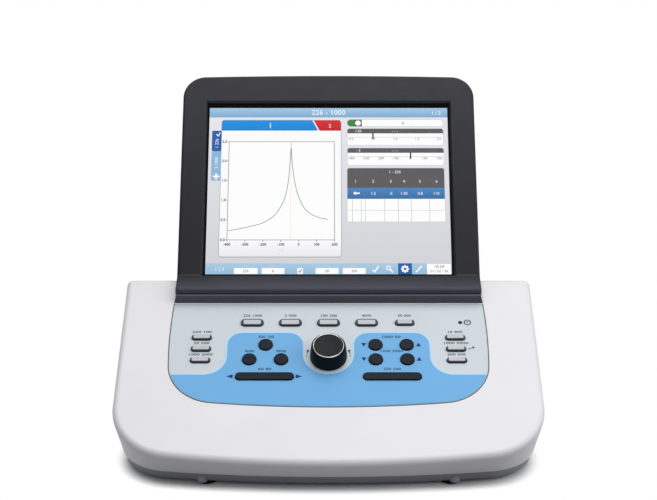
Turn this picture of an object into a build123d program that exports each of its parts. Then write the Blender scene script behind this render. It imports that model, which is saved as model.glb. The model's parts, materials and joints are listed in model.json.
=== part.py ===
"""Desktop tympanometer: a wedge-shaped white case with an inset key panel, and a screen housing leaning back on it.

The origin is on the table, under the middle of the whole instrument. X is to the right as the user sees it, Y goes
away from the user and Z goes up. The sloping top is called the deck. Most places on it are given as a distance
across (X) and a distance up the slope from the front rim.
"""

from build123d import *

import os
from math import cos, pi, radians, sin, tan

os.makedirs("parts", exist_ok=True)

# The case: a wedge whose widest line, the rim, runs a little below the deck
rim_width = 345.0
rim_height = 25.5
rim_drop = 6.0
deck_slope = 28.0
deck_length = 190.0
front_bulge = 14.0
front_corner_radius = 50.0
rear_corner_radius = 18.0
deck_edge_radius = 5.0
wall_draft = 6.0
case_depth = 240.0
rear_slope = 37.0
case_wall = 3.0
parting_height = 13.5
underside_height = 3.0
tray_step = 1.0
seam = 0.3
seat_gap = 0.3
well_wall = 3.0
overrun = 400.0

# The control panel, let into the deck
panel_rear = 163.3
panel_depth = 109.3
panel_rear_width = 260.6
panel_front_width = 255.0
panel_bulge = 1.2
panel_front_sag = 7.8
panel_corner_radius = 40.0
panel_thickness = 3.0
panel_ledge = 6.0
ledge_thickness = 2.5
panel_edge_radius = 0.5

# The coloured lower field of the panel, a thin plate let into it, with a raised hump on each side of the knob
field_edge = 87.3
field_hump_top = 131.4
field_hump_inner = 21.5
field_hump_outer = 84.0
field_hump_radius = 9.0
field_foot_radius = 12.0
field_knob_radius = 19.3
field_margin = 1.6
field_pocket = 0.5
field_proud = 0.3

# The keys
key_travel = 1.0
key_proud = 1.8
key_gap = 0.35
key_flange = 1.2
key_flange_height = 1.2
key_edge_radius = 0.5
stem_diameter = 3.4
stem_length = 1.0
top_key_width = 18.8
top_key_height = 7.0
end_key_width = 16.2
end_key_height = 5.6
side_key_width = 16.4
side_key_height = 5.2
round_key_diameter = 11.6
bar_width = 47.6
bar_height = 7.4
bar_corner_radius = 1.6
bar_rock = 2.0
rocker_fold_angle = 1.4
bar_switch_reach = 15.0
rock_axle_diameter = 2.0
rock_axle_drop = 4.6
rock_ear = 2.2
rock_ear_gap = 0.3
top_row = 141.5
top_pitch = 31.8
side_column = 104.9
side_row = 125.5
side_pitch = 12.0
round_upper_row = 117.6
round_lower_row = 102.3
left_round_middle = 51.8
left_round_pitch = 26.0
right_round_near = 38.7
right_round_far = 64.5
bar_row = 84.6
bar_place = 51.8
lamp_place = 110.0
lamp_row = 142.2
lamp_diameter = 3.4
lamp_proud = 0.4

# Switches and the board that carries them
switch_size = 6.0
switch_height = 3.4
switch_button_diameter = 3.2
switch_button_height = 0.5
board_thickness = 1.6
key_board_width = 236.0
key_board_front = 70.0
key_board_rear = 156.0
post_diameter = 7.0
post_inner_column = 47.7
post_outer_column = 92.0
post_edge = 5.0
screw_diameter = 3.0
screw_length = 8.0
screw_head_diameter = 5.6
screw_head_height = 1.8
screw_clearance = 0.2

# The knob, its shaft and its encoder
knob_place = 105.7
knob_diameter = 30.4
knob_top_diameter = 27.0
knob_height = 14.7
knob_lift = 0.5
knob_skirt = 2.0
knob_ring_height = 3.0
knob_ring_thickness = 1.3
knob_dish = 1.2
knob_wall = 2.4
knob_roof = 3.0
knob_boss_diameter = 11.0
knob_edge_radius = 0.6
shaft_diameter = 6.0
shaft_clearance = 0.05
bushing_diameter = 9.0
bushing_top = 4.6
nut_across = 12.0
nut_height = 2.0
encoder_width = 13.4
encoder_length = 12.4
encoder_floor = 1.2

# The screen and its housing
screen_lean = 38.5
screen_place = 180.7
picture_width = 211.2
picture_height = 158.4
picture_lift = 11.9
picture_border = 1.6
bezel_front = 4.0
bezel_top = 199.0
bezel_arch = 1.8
housing_width = 258.6
housing_corner_radius = 20.0
housing_edge_radius = 2.2
bezel_back = 8.0
housing_wall = 2.5
opening_slope = 12.0
chin_place = 167.2
chin_height = 11.2
chin_roll_radius = 5.0
chin_hollow_radius = 4.0
strip_width = 262.0
strip_thickness = 3.3
strip_height = 8.0
strip_lean = 1.0
strip_corner_radius = 1.0
housing_rear_place = 186.0
housing_rear_depth = 30.0
housing_foot_depth = 44.0
housing_foot_place = 30.0
cover_top_depth = 15.0
cover_draft = 10.0
window_thickness = 1.1
window_gap = 0.2
window_margin = 4.0
module_margin_across = 9.0
module_margin_along = 6.0
module_thickness = 6.5
carrier_thickness = 2.0
carrier_margin = 12.0
carrier_flange = 26.0
carrier_width = 150.0
carrier_screw_across = 120.0
carrier_screw_depth = 24.0
vent_length = 34.0
vent_width = 2.4
vent_pitch = 6.5
vent_count = 8
vent_place = 120.0
vent_spread = 62.0

# The rear sockets
rear_plate_width = 226.0
rear_plate_height = 34.0
rear_plate_middle = 37.0
rear_plate_thickness = 2.0
rear_plate_radius = 4.0
rear_plate_lip = 3.0
inlet_place = 88.0
inlet_width = 27.4
inlet_height = 20.0
inlet_flange = 2.0
inlet_flange_thickness = 1.6
inlet_body_depth = 22.0
inlet_mouth_width = 24.2
inlet_mouth_height = 16.6
inlet_mouth_depth = 14.0
inlet_chamfer = 4.0
pin_thickness = 2.0
pin_width = 4.0
pin_length = 7.0
pin_spread = 7.0
pin_rise = 2.6
power_switch_place = 54.0
power_switch_width = 13.0
power_switch_height = 20.0
power_switch_depth = 14.0
power_switch_wall = 1.2
rocker_clearance = 0.4
rocker_end_gap = 1.0
rocker_proud = 0.8
rocker_swing = 8.0
rocker_pin_diameter = 2.0
rocker_pin_drop = 3.0
usb_place = 16.0
usb_pitch = 20.0
usb_count = 2
usb_width = 14.4
usb_height = 7.2
usb_wall = 0.9
usb_depth = 15.0
usb_tongue_thickness = 1.8
usb_tongue_depth = 8.0
jack_place = -48.0
jack_pitch = 19.0
jack_count = 3
jack_bore = 6.5
jack_collar_diameter = 11.0
jack_collar_proud = 1.4
jack_body_width = 13.0
jack_body_height = 15.0
jack_body_depth = 24.0
probe_place = -94.0
probe_barrel = 18.0
probe_flange = 24.0
probe_bore = 13.0
probe_proud = 6.0
probe_bore_depth = 10.0
probe_body_depth = 13.0
probe_nut_thickness = 2.6
nozzle_length = 6.0

# The air pump: a stepper motor turns a coarse screw, which drives a piston along its cylinder
pump_middle = 38.0
pump_motor_face = 37.0
motor_diameter = 30.0
motor_length = 20.0
motor_flange_across = 36.0
motor_flange_thickness = 2.0
motor_boss_diameter = 9.0
motor_boss_length = 2.0
lead_screw_diameter = 5.0
lead_screw_length = 54.0
piston_clearance = 0.06
piston_diameter = 22.0
piston_thickness = 8.0
piston_groove = 1.0
piston_rod_diameter = 9.0
piston_rod_length = 42.0
piston_nut_diameter = 15.0
piston_nut_length = 6.0
piston_rest = 8.0
piston_crown = 3.0
piston_travel = 24.0
guide_diameter = 3.0
guide_rise = 13.0
guide_ear = 8.0
cylinder_wall = 2.4
cylinder_length = 40.0
cylinder_flange = 4.0
cylinder_flange_thickness = 3.0
end_cap_thickness = 4.0
bracket_thickness = 2.0
bracket_depth = 38.0
bracket_span = 45.0
manifold_length = 20.0
manifold_width = 24.0
manifold_height = 20.0
sensor_diameter = 8.0
sensor_height = 5.0
tube_diameter = 5.0
tube_bore = 3.0
tube_bend = 18.0
nozzle_clearance = 0.1

# The boards in the case
standoff_rise = 5.0
main_board_width = 150.0
main_board_depth = 84.0
main_board_left = -128.0
main_board_front = -96.0
chip_height = 2.4
shield_height = 6.0
supply_width = 76.0
supply_depth = 92.0
supply_left = 62.0
supply_front = -60.0
board_hole_inset = 5.0
transformer_size = 30.0
transformer_height = 24.0
capacitor_diameter = 16.0
capacitor_height = 22.0
heat_sink_length = 46.0
heat_sink_height = 22.0
heat_sink_fins = 7
fin_thickness = 1.6

# Feet and case screws
foot_diameter = 18.0
foot_recess = 1.0
foot_across = 194.0
foot_front = 31.0
foot_rear = 24.0
case_post_diameter = 9.0
case_post_across = 296.0
case_post_front = 62.0
case_post_rear = 24.0
nose_post_across = 200.0
nose_post_front = 24.0
case_screw_length = 12.0
case_screw_recess = 4.0
floor_vent_count = 9
floor_vent_pitch = 12.0
floor_vent_length = 18.0
floor_vent_width = 3.0
floor_vent_front = 6.0

# Frames: the deck with its side view, and the screen with its side view
deck_lean = radians(deck_slope)
lean = radians(screen_lean)
nose = deck_edge_radius * (cos(deck_lean) + sin(deck_lean) - 1)
screen_setback = screen_place * cos(deck_lean) - nose
housing_reach = housing_rear_place * sin(lean) + housing_rear_depth * cos(lean)
overall_depth = screen_setback + housing_reach
front_y = -overall_depth / 2
rear_y = front_y + case_depth
deck_y = front_y - nose
deck_z = rim_height + rim_drop * cos(deck_lean)
deck = Plane(origin=(0, deck_y, deck_z), x_dir=(1, 0, 0), z_dir=(0, -sin(deck_lean), cos(deck_lean)))
deck_side = Plane(origin=deck.origin, x_dir=deck.y_dir, z_dir=(1, 0, 0))
screen_origin = deck.from_local_coords((0, screen_place, 0))
screen = Plane(origin=screen_origin, x_dir=(1, 0, 0), z_dir=(0, -cos(lean), sin(lean)))
screen_side = Plane(origin=screen.origin, x_dir=screen.y_dir, z_dir=(1, 0, 0))
rear_face = Plane.XZ.offset(-rear_y)
crest = deck.from_local_coords((0, deck_length, 0))
shoulder_z = crest.Z - (rear_y - crest.Y) * tan(radians(rear_slope))
bend = pi / 2 - deck_lean - lean

# Heights below the deck: the key parts, their switches and the board
flange_top = panel_thickness + seat_gap
flange_bottom = flange_top + key_flange_height
stem_bottom = flange_bottom + stem_length
switch_top = stem_bottom + key_travel + seat_gap
board_top = switch_top + switch_button_height + switch_height
floor_top = underside_height + case_wall
board_seat = floor_top + standoff_rise
screw_bore = screw_diameter + screw_clearance
picture_middle = picture_lift + picture_height / 2


def deck_outline(inset):
    """The rim seen square to the deck: straight sides, a gently curved front and two wide front corners."""
    half = rim_width / 2 - inset
    corner = front_bulge + inset
    with BuildSketch() as outline:
        with BuildLine():
            ThreePointArc((-half, corner), (0, inset), (half, corner))
            Polyline((half, corner), (half, overrun), (-half, overrun), (-half, corner))
        make_face()
        front_corners = outline.vertices().group_by(Axis.Y)[0]
        fillet(front_corners, radius=front_corner_radius - inset)
    return outline.sketch


def case_form(inset, rounding=0):
    """The closed outer form of the case, drawn in everywhere by an even inset, with its top edges rounded."""
    rim_outline = deck_outline(inset)
    above = crest.Z + case_depth
    with BuildPart() as form:
        with BuildSketch(deck.offset(-rim_drop)):
            add(rim_outline)
        extrude(amount=rim_drop - inset)
        if rounding:
            top_face = form.faces().sort_by(Axis(deck.origin, deck.z_dir))[-1]
            fillet(top_face.edges(), radius=rounding)
        with BuildSketch(deck.offset(-rim_drop)):
            add(rim_outline)
        extrude(amount=-overrun, taper=wall_draft)
        with BuildSketch(Plane.YZ):
            with BuildLine():
                Polyline(
                    (front_y - case_depth, underside_height),
                    (front_y - case_depth, above),
                    (crest.Y - case_depth / tan(radians(rear_slope)), above),
                    (rear_y, shoulder_z),
                    (rear_y, underside_height),
                    close=True,
                )
            make_face()
            offset(amount=-inset, kind=Kind.INTERSECTION, mode=Mode.REPLACE)
        extrude(amount=rim_width, both=True, mode=Mode.INTERSECT)
        rear_edges = form.edges().filter_by(lambda edge: edge.center().Y > rear_y - inset - seam)
        fillet(rear_edges.filter_by(Axis.X, reverse=True), radius=rear_corner_radius - inset)
        if rounding:
            slope = form.faces().filter_by(GeomType.PLANE).filter_by(lambda face: face.normal_at().Y > seam)
            slope_edges = slope.sort_by(Axis.Z)[-1].edges()
            fillet(slope_edges.filter_by(lambda edge: edge.center().Z < crest.Z - deck_edge_radius), radius=rounding)
            fillet(form.edges().filter_by(Axis.X).sort_by(Axis.Z)[-1], radius=rounding)
    return form.part


def panel_outline(inset):
    """The control panel seen square to the deck: bulging sides, wide front corners and a sagging front edge."""
    rear_half = panel_rear_width / 2 - inset
    front_half = panel_front_width / 2 - inset
    rear = panel_rear - inset
    front = panel_rear - panel_depth + inset
    corner = front + panel_front_sag
    side_middle = ((rear_half + front_half) / 2 + panel_bulge + (rear_half - front_half) / 2, (rear + corner) / 2)
    with BuildSketch() as outline:
        with BuildLine():
            Line((-rear_half, rear), (rear_half, rear))
            ThreePointArc((rear_half, rear), side_middle, (front_half, corner))
            ThreePointArc((front_half, corner), (0, front), (-front_half, corner))
            ThreePointArc((-front_half, corner), (-side_middle[0], side_middle[1]), (-rear_half, rear))
        make_face()
        fillet(outline.vertices().group_by(Axis.Y)[0], radius=panel_corner_radius - inset)
    return outline.sketch


def field_outline(inset):
    """The coloured field: the front of the panel, with a hump round each key group and a hollow round the knob."""
    lower = panel_outline(field_margin + inset)
    hump_top = field_hump_top - inset
    inner = field_hump_inner + inset
    outer = field_hump_outer - inset
    edge = field_edge - inset
    with BuildSketch() as field:
        with BuildLine():
            Polyline(
                (-panel_rear_width, 0),
                (panel_rear_width, 0),
                (panel_rear_width, edge),
                (outer, edge),
                (outer, hump_top),
                (inner, hump_top),
                (inner, knob_place),
                (-inner, knob_place),
                (-inner, hump_top),
                (-outer, hump_top),
                (-outer, edge),
                (-panel_rear_width, edge),
                close=True,
            )
        make_face()
        fillet(field.vertices().group_by(Axis.Y)[-1], radius=field_hump_radius)
        feet = [v for v in field.vertices() if abs(v.Y - edge) < seam and abs(abs(v.X) - outer) < seam]
        fillet(feet, radius=field_foot_radius)
        add(lower, mode=Mode.INTERSECT)
        with Locations((0, knob_place)):
            Circle(field_knob_radius + inset, mode=Mode.SUBTRACT)
    return field.sketch


def deck_to_screen(along, height):
    """A point of the deck's side view, as the screen's side view sees it."""
    spot = screen_side.to_local_coords(deck_side.from_local_coords((along, height, 0)))
    return (spot.X, spot.Y)


def housing_form(grow):
    """The screen housing with its forward chin, grown everywhere by an even amount."""
    half = housing_width / 2 + grow
    top = bezel_top + grow
    with BuildPart() as form:
        with BuildSketch(screen.offset(-bezel_back)) as outline:
            with BuildLine():
                ThreePointArc((-half, top - bezel_arch), (0, top), (half, top - bezel_arch))
                Polyline((half, top - bezel_arch), (half, -bezel_top), (-half, -bezel_top), (-half, top - bezel_arch))
            make_face()
            fillet(outline.vertices().group_by(Axis.Y)[-1], radius=housing_corner_radius + grow)
        extrude(amount=housing_foot_depth)
        extrude(outline.sketch, amount=-housing_foot_depth, taper=cover_draft)
        with BuildSketch(screen_side) as profile:
            with BuildLine():
                Polyline(
                    (bezel_top + housing_foot_depth, bezel_front),
                    (bezel_top + housing_foot_depth, -cover_top_depth),
                    (bezel_top, -cover_top_depth),
                    (housing_rear_place, -housing_rear_depth),
                    (housing_foot_place, -housing_foot_depth),
                    (0, -housing_foot_depth),
                    (0, seat_gap / cos(bend)),
                    deck_to_screen(chin_place, seat_gap),
                    deck_to_screen(chin_place, chin_height),
                    (picture_lift - picture_border, bezel_front),
                    close=True,
                )
            make_face()
            crown = profile.vertices().sort_by(Axis.Y)[-1]
            fillet(crown, radius=chin_roll_radius)
            hollow = profile.vertices().sort_by(lambda v: abs(v.X - picture_lift) + abs(v.Y - bezel_front))[0]
            fillet(hollow, radius=chin_hollow_radius)
            if grow:
                offset(amount=grow, kind=Kind.INTERSECTION, mode=Mode.REPLACE)
        extrude(amount=housing_width, both=True, mode=Mode.INTERSECT)
    return form.part


def board_corners(left, front, width, depth):
    """The four fixing places of a rectangular board."""
    inset = board_hole_inset
    right = left + width - inset
    rear = front + depth - inset
    return [(x, y) for x in (left + inset, right) for y in (front + inset, rear)]


def posts(places, bottom, diameter, limit):
    """Round posts that rise from a height until they meet the given form."""
    with BuildPart() as columns:
        with BuildSketch(Plane.XY.offset(bottom)):
            with Locations(places):
                Circle(diameter / 2)
        extrude(amount=overrun)
        add(limit, mode=Mode.INTERSECT)
    return columns.part


def machine_screws(plane, places, head_side):
    """A set of like screws: heads on one side of the plane, shanks on the other."""
    with BuildPart() as screws:
        with BuildSketch(plane):
            with Locations(places):
                Circle(screw_head_diameter / 2)
        extrude(amount=head_side * screw_head_height)
        with BuildSketch(plane):
            with Locations(places):
                Circle(screw_diameter / 2)
        extrude(amount=-head_side * screw_length)
        sockets = plane.offset(head_side * screw_head_height)
        with BuildSketch(sockets):
            with Locations(places):
                RegularPolygon(screw_diameter / 2, 6)
        extrude(amount=-head_side * screw_head_height / 2, mode=Mode.SUBTRACT)
    return screws.part


# Every key with its form, its place across and its place up the deck
side_rows = [side_row - side_pitch * n for n in range(3)]
right_rounds = [(x, row) for row in (round_upper_row, round_lower_row) for x in (right_round_near, right_round_far)]
half_pitch = left_round_pitch / 2
left_rounds = [
    (-left_round_middle, round_upper_row),
    (-left_round_middle - half_pitch, round_lower_row),
    (-left_round_middle + half_pitch, round_lower_row),
]
keys = [(f"top_key_{n + 1}", "top", top_pitch * (n - 2), top_row) for n in range(4)]
keys += [("top_key_5", "end", top_pitch * 2, top_row)]
keys += [(f"left_key_{n + 1}", "side", -side_column, row) for n, row in enumerate(side_rows)]
keys += [(f"right_key_{n + 1}", "side", side_column, row) for n, row in enumerate(side_rows)]
keys += [(f"left_round_key_{n + 1}", "round", x, row) for n, (x, row) in enumerate(left_rounds)]
keys += [(f"right_round_key_{n + 1}", "round", x, row) for n, (x, row) in enumerate(right_rounds)]
keys += [("push_bar", "bar", bar_place, bar_row)]
rocker_bar = ("rocker_bar", "bar", -bar_place, bar_row)
rocker_switches = [(-bar_place + side * bar_switch_reach, bar_row) for side in (-1, 1)]
switch_places = [(x, row) for name, form, x, row in keys] + rocker_switches
key_sizes = {
    "top": (top_key_width, top_key_height),
    "end": (end_key_width, end_key_height),
    "side": (side_key_width, side_key_height),
}


def key_outline(form, grow):
    """The outline of one key, grown evenly: a pill, a disc or a long bar."""
    with BuildSketch() as outline:
        if form == "round":
            Circle(round_key_diameter / 2 + grow)
        elif form == "bar":
            RectangleRounded(bar_width + 2 * grow, bar_height + 2 * grow, bar_corner_radius + grow)
        else:
            width, height = key_sizes[form]
            SlotOverall(width + 2 * grow, height + 2 * grow)
    return outline.sketch


# The white top shell: recess and ledge for the panel, a well for the screen housing, posts for the case screws
post_places = [(side * case_post_across / 2, front_y + case_post_front) for side in (-1, 1)]
post_places += [(side * case_post_across / 2, rear_y - case_post_rear) for side in (-1, 1)]
post_places += [(side * nose_post_across / 2, front_y + nose_post_front) for side in (-1, 1)]
outer_form = case_form(0, deck_edge_radius)
middle_form = case_form(case_wall / 2)
inner_form = case_form(case_wall)
case_posts = posts(post_places, parting_height, case_post_diameter, middle_form)
panel_recess = panel_outline(0)
panel_window = panel_outline(panel_ledge)
panel_frame = panel_outline(-case_wall)
well_form = housing_form(seat_gap + well_wall)
housing_room = housing_form(seat_gap)
with BuildPart() as housing_well:
    add(well_form)
    add(outer_form, mode=Mode.INTERSECT)
screw_row = -carrier_screw_depth
carrier_holes = [(side * carrier_screw_across / 2, screw_row) for side in (-1, 1)]
carrier_holes += [(0, screw_row)]
well_floor = Plane(origin=screen.origin, x_dir=(1, 0, 0), z_dir=-screen.y_dir).offset(seat_gap + well_wall)

with BuildPart() as base_top_cover:
    add(outer_form)
    add(inner_form, mode=Mode.SUBTRACT)
    add(case_posts)
    add(housing_well.part)
    add(housing_room, mode=Mode.SUBTRACT)
    with BuildSketch(deck.offset(-panel_thickness - ledge_thickness)):
        add(panel_frame)
    extrude(amount=ledge_thickness)
    with BuildSketch(deck):
        add(panel_recess)
    extrude(amount=-panel_thickness, mode=Mode.SUBTRACT)
    with BuildSketch(deck):
        add(panel_window)
    extrude(amount=-panel_thickness - ledge_thickness, mode=Mode.SUBTRACT)
    split(bisect_by=Plane.XY.offset(parting_height), keep=Keep.TOP)
    with BuildSketch(Plane.XY.offset(parting_height)):
        with Locations(post_places):
            Circle(screw_bore / 2)
    extrude(amount=case_screw_length, mode=Mode.SUBTRACT)
    with BuildSketch(well_floor):
        with Locations(carrier_holes):
            Circle(screw_bore / 2)
    extrude(amount=-well_wall, mode=Mode.SUBTRACT)
    with BuildSketch(rear_face):
        with Locations((0, rear_plate_middle)):
            RectangleRounded(rear_plate_width + seam, rear_plate_height + seam, rear_plate_radius)
    extrude(amount=rear_plate_thickness, mode=Mode.SUBTRACT)
    with BuildSketch(rear_face):
        with Locations((0, rear_plate_middle)):
            Rectangle(rear_plate_width - 2 * rear_plate_lip, rear_plate_height - 2 * rear_plate_lip)
    extrude(amount=case_wall, mode=Mode.SUBTRACT)
base_top_cover.part.label = "base_top_cover"
export_step(base_top_cover.part, "parts/base_top_cover.step")

# The grey tray: floor, upstand, screw posts from below, board standoffs, foot seats and floor vents
main_corners = board_corners(main_board_left, main_board_front, main_board_width, main_board_depth)
supply_corners = board_corners(supply_left, supply_front, supply_width, supply_depth)
bracket_left = pump_motor_face - bracket_span - bracket_thickness
bracket_length = bracket_span + 2 * bracket_thickness
bracket_front = pump_middle - bracket_depth / 2
bracket_corners = board_corners(bracket_left, bracket_front, bracket_length, bracket_depth)
board_places = main_corners + supply_corners + bracket_corners
foot_rows = (front_y + foot_front, rear_y - foot_rear)
foot_places = [(side * foot_across / 2, row) for row in foot_rows for side in (-1, 1)]
tray_form = case_form(tray_step)
tray_room = case_form(tray_step + case_wall)
with BuildPart() as base_bottom_cover:
    add(tray_form)
    add(tray_room, mode=Mode.SUBTRACT)
    with BuildSketch(Plane.XY.offset(underside_height)):
        with Locations(post_places):
            Circle(case_post_diameter / 2)
    extrude(amount=parting_height - underside_height)
    with BuildSketch(Plane.XY.offset(underside_height)):
        with Locations(board_places):
            Circle(post_diameter / 2)
    extrude(amount=board_seat - underside_height)
    split(bisect_by=Plane.XY.offset(parting_height), keep=Keep.BOTTOM)
    with BuildSketch(Plane.XY.offset(board_seat)):
        with Locations(board_places):
            Circle(screw_bore / 2)
    extrude(amount=board_thickness - screw_length, mode=Mode.SUBTRACT)
    with BuildSketch(Plane.XY.offset(parting_height)):
        with Locations(post_places):
            Circle(screw_bore / 2)
    extrude(amount=-parting_height, mode=Mode.SUBTRACT)
    with BuildSketch(Plane.XY.offset(underside_height)):
        with Locations(post_places):
            Circle(screw_head_diameter / 2 + screw_clearance)
    extrude(amount=case_screw_recess, mode=Mode.SUBTRACT)
    with BuildSketch(Plane.XY.offset(underside_height)):
        with Locations(foot_places):
            Circle(foot_diameter / 2 + screw_clearance)
    extrude(amount=foot_recess, mode=Mode.SUBTRACT)
    with BuildSketch(Plane.XY.offset(underside_height)):
        with Locations((0, rear_y - floor_vent_front - floor_vent_length)):
            with GridLocations(floor_vent_pitch, floor_vent_length, floor_vent_count, 1):
                SlotOverall(floor_vent_length, floor_vent_width, rotation=90)
    extrude(amount=case_wall, mode=Mode.SUBTRACT)
base_bottom_cover.part.label = "base_bottom_cover"
export_step(base_bottom_cover.part, "parts/base_bottom_cover.step")

with BuildPart() as rubber_feet:
    with BuildSketch(Plane.XY):
        with Locations(foot_places):
            Circle(foot_diameter / 2)
    extrude(amount=underside_height + foot_recess)
    chamfer(rubber_feet.edges().group_by(Axis.Z)[0], length=foot_recess)
rubber_feet.part.label = "rubber_feet"
export_step(rubber_feet.part, "parts/rubber_feet.step")

with BuildPart() as case_screws:
    with BuildSketch(Plane.XY.offset(underside_height + case_screw_recess)):
        with Locations(post_places):
            Circle(screw_head_diameter / 2)
    extrude(amount=-screw_head_height)
    with BuildSketch(Plane.XY.offset(underside_height + case_screw_recess)):
        with Locations(post_places):
            Circle(screw_diameter / 2)
    extrude(amount=case_screw_length)
case_screws.part.label = "case_screws"
export_step(case_screws.part, "parts/case_screws.step")

# The light grey panel plate: key holes, knob hole, a pocket for the coloured field, posts for the key board
key_posts = [(x, row) for row in (key_board_front + post_edge, key_board_rear - post_edge)
             for x in (-post_outer_column, -post_inner_column, post_inner_column, post_outer_column)]
hole_outlines = [(key_outline(form, key_gap), x, row) for name, form, x, row in keys + [rocker_bar]]
panel_plate = panel_outline(seam / 2)
field_pocket_outline = field_outline(-seam / 2)
field_plate = field_outline(0)
ear_across = bar_height + 2 * (key_gap + rock_ear_gap)
ear_rows = (bar_row - ear_across / 2 - rock_ear / 2, bar_row + ear_across / 2 + rock_ear / 2)
ear_bottom = rock_axle_drop + rock_ear
with BuildPart() as control_panel:
    with BuildSketch(deck.offset(-panel_thickness)):
        add(panel_plate)
    extrude(amount=panel_thickness)
    top_face = control_panel.faces().sort_by(Axis(deck.origin, deck.z_dir))[-1]
    chamfer(top_face.edges(), length=panel_edge_radius)
    with BuildSketch(deck.offset(-board_top)):
        with Locations(key_posts):
            Circle(post_diameter / 2)
    extrude(amount=board_top - panel_thickness)
    with BuildSketch(deck.offset(-ear_bottom)):
        with Locations([(-bar_place, row) for row in ear_rows]):
            Rectangle(2 * rock_ear, rock_ear)
    extrude(amount=ear_bottom - panel_thickness)
    with BuildSketch(deck):
        add(field_pocket_outline)
    extrude(amount=-field_pocket, mode=Mode.SUBTRACT)
    for outline, x, row in hole_outlines:
        with BuildSketch(deck):
            with Locations((x, row)):
                add(outline)
        extrude(amount=-panel_thickness, mode=Mode.SUBTRACT)
    with BuildSketch(deck):
        with Locations((0, knob_place)):
            Circle(bushing_diameter / 2 + key_gap)
        with Locations((lamp_place, lamp_row)):
            Circle(lamp_diameter / 2 + shaft_clearance)
    extrude(amount=-panel_thickness, mode=Mode.SUBTRACT)
    with BuildSketch(deck.offset(-board_top)):
        with Locations(key_posts):
            Circle(screw_bore / 2)
    extrude(amount=screw_length - board_thickness, mode=Mode.SUBTRACT)
    axle_middle = deck_side.from_local_coords((bar_row, -rock_axle_drop, 0))
    axle_plane = Plane(origin=axle_middle - bar_place * deck.x_dir, x_dir=(1, 0, 0), z_dir=deck.y_dir)
    with BuildSketch(axle_plane):
        Circle(rock_axle_diameter / 2 + shaft_clearance)
    extrude(amount=ear_across, both=True, mode=Mode.SUBTRACT)
control_panel.part.label = "control_panel"
export_step(control_panel.part, "parts/control_panel.step")

# The coloured field, a thin plate with the same holes
with BuildPart() as panel_field:
    with BuildSketch(deck.offset(-field_pocket)):
        add(field_plate)
    extrude(amount=field_pocket + field_proud)
    for outline, x, row in hole_outlines:
        with BuildSketch(deck.offset(field_proud)):
            with Locations((x, row)):
                add(outline)
        extrude(amount=-field_pocket - field_proud, mode=Mode.SUBTRACT)
panel_field.part.label = "panel_field"
export_step(panel_field.part, "parts/panel_field.step")

# The keys: each has a cap, a flange that keeps it under the panel, and a stem over its switch
for name, form, x, row in keys:
    cap_outline = key_outline(form, 0)
    flange_outline = key_outline(form, key_gap + key_flange)
    with BuildPart() as key:
        with BuildSketch(deck.offset(-flange_top)):
            with Locations((x, row)):
                add(cap_outline)
        extrude(amount=flange_top + key_proud)
        fillet(key.faces().sort_by(Axis(deck.origin, deck.z_dir))[-1].edges(), radius=key_edge_radius)
        with BuildSketch(deck.offset(-flange_bottom)):
            with Locations((x, row)):
                add(flange_outline)
        extrude(amount=key_flange_height)
        with BuildSketch(deck.offset(-stem_bottom)):
            with Locations((x, row)):
                Circle(stem_diameter / 2)
        extrude(amount=stem_length)
    key.part.label = name
    export_step(key.part, f"parts/{name}.step")

# The rocker bar tips about an axle that runs up the deck under its middle; its top is a shallow roof
rock_fall = bar_switch_reach * tan(radians(bar_rock))
rocker_stem_bottom = switch_top - seat_gap - rock_fall
rocker_outline = key_outline("bar", 0)
with BuildPart() as rocker_bar_key:
    with BuildSketch(deck.offset(-flange_bottom)):
        with Locations((-bar_place, bar_row)):
            add(rocker_outline)
    extrude(amount=flange_bottom + key_proud)
    fillet(rocker_bar_key.faces().sort_by(Axis(deck.origin, deck.z_dir))[-1].edges(), radius=key_edge_radius)
    with BuildSketch(Plane(origin=axle_plane.origin, x_dir=(1, 0, 0), z_dir=-deck.y_dir)):
        with Locations((0, key_proud + rock_axle_drop)):
            Triangle(a=bar_width, B=rocker_fold_angle, C=rocker_fold_angle, rotation=180)
    extrude(amount=bar_height, both=True, mode=Mode.SUBTRACT)
    with BuildSketch(axle_plane):
        Circle(rock_axle_diameter / 2)
    extrude(amount=ear_across / 2 + rock_ear, both=True)
    with BuildSketch(deck.offset(-rocker_stem_bottom)):
        with Locations(rocker_switches):
            Circle(stem_diameter / 2)
    extrude(amount=rocker_stem_bottom - flange_bottom)
rocker_bar_key.part.label = "rocker_bar"
export_step(rocker_bar_key.part, "parts/rocker_bar.step")

# The board under the panel, with one switch under each key
with BuildPart() as key_board:
    with BuildSketch(deck.offset(-board_top)):
        with Locations((0, (key_board_front + key_board_rear) / 2)):
            Rectangle(key_board_width, key_board_rear - key_board_front)
        with Locations(key_posts):
            Circle(screw_bore / 2, mode=Mode.SUBTRACT)
    extrude(amount=-board_thickness)
key_board.part.label = "key_board"
export_step(key_board.part, "parts/key_board.step")

with BuildPart() as key_switches:
    with BuildSketch(deck.offset(-board_top)):
        with Locations(switch_places):
            Rectangle(switch_size, switch_size)
    extrude(amount=switch_height)
    with BuildSketch(deck.offset(switch_height - board_top)):
        with Locations(switch_places):
            Circle(switch_button_diameter / 2)
    extrude(amount=switch_button_height)
key_switches.part.label = "key_switches"
export_step(key_switches.part, "parts/key_switches.step")

with BuildPart() as power_light:
    with BuildSketch(deck.offset(-board_top)):
        with Locations((lamp_place, lamp_row)):
            Circle(lamp_diameter / 2)
    extrude(amount=board_top + lamp_proud)
    fillet(power_light.edges().sort_by(Axis(deck.origin, deck.z_dir))[-1], radius=lamp_proud)
power_light.part.label = "power_light"
export_step(power_light.part, "parts/power_light.step")

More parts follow.
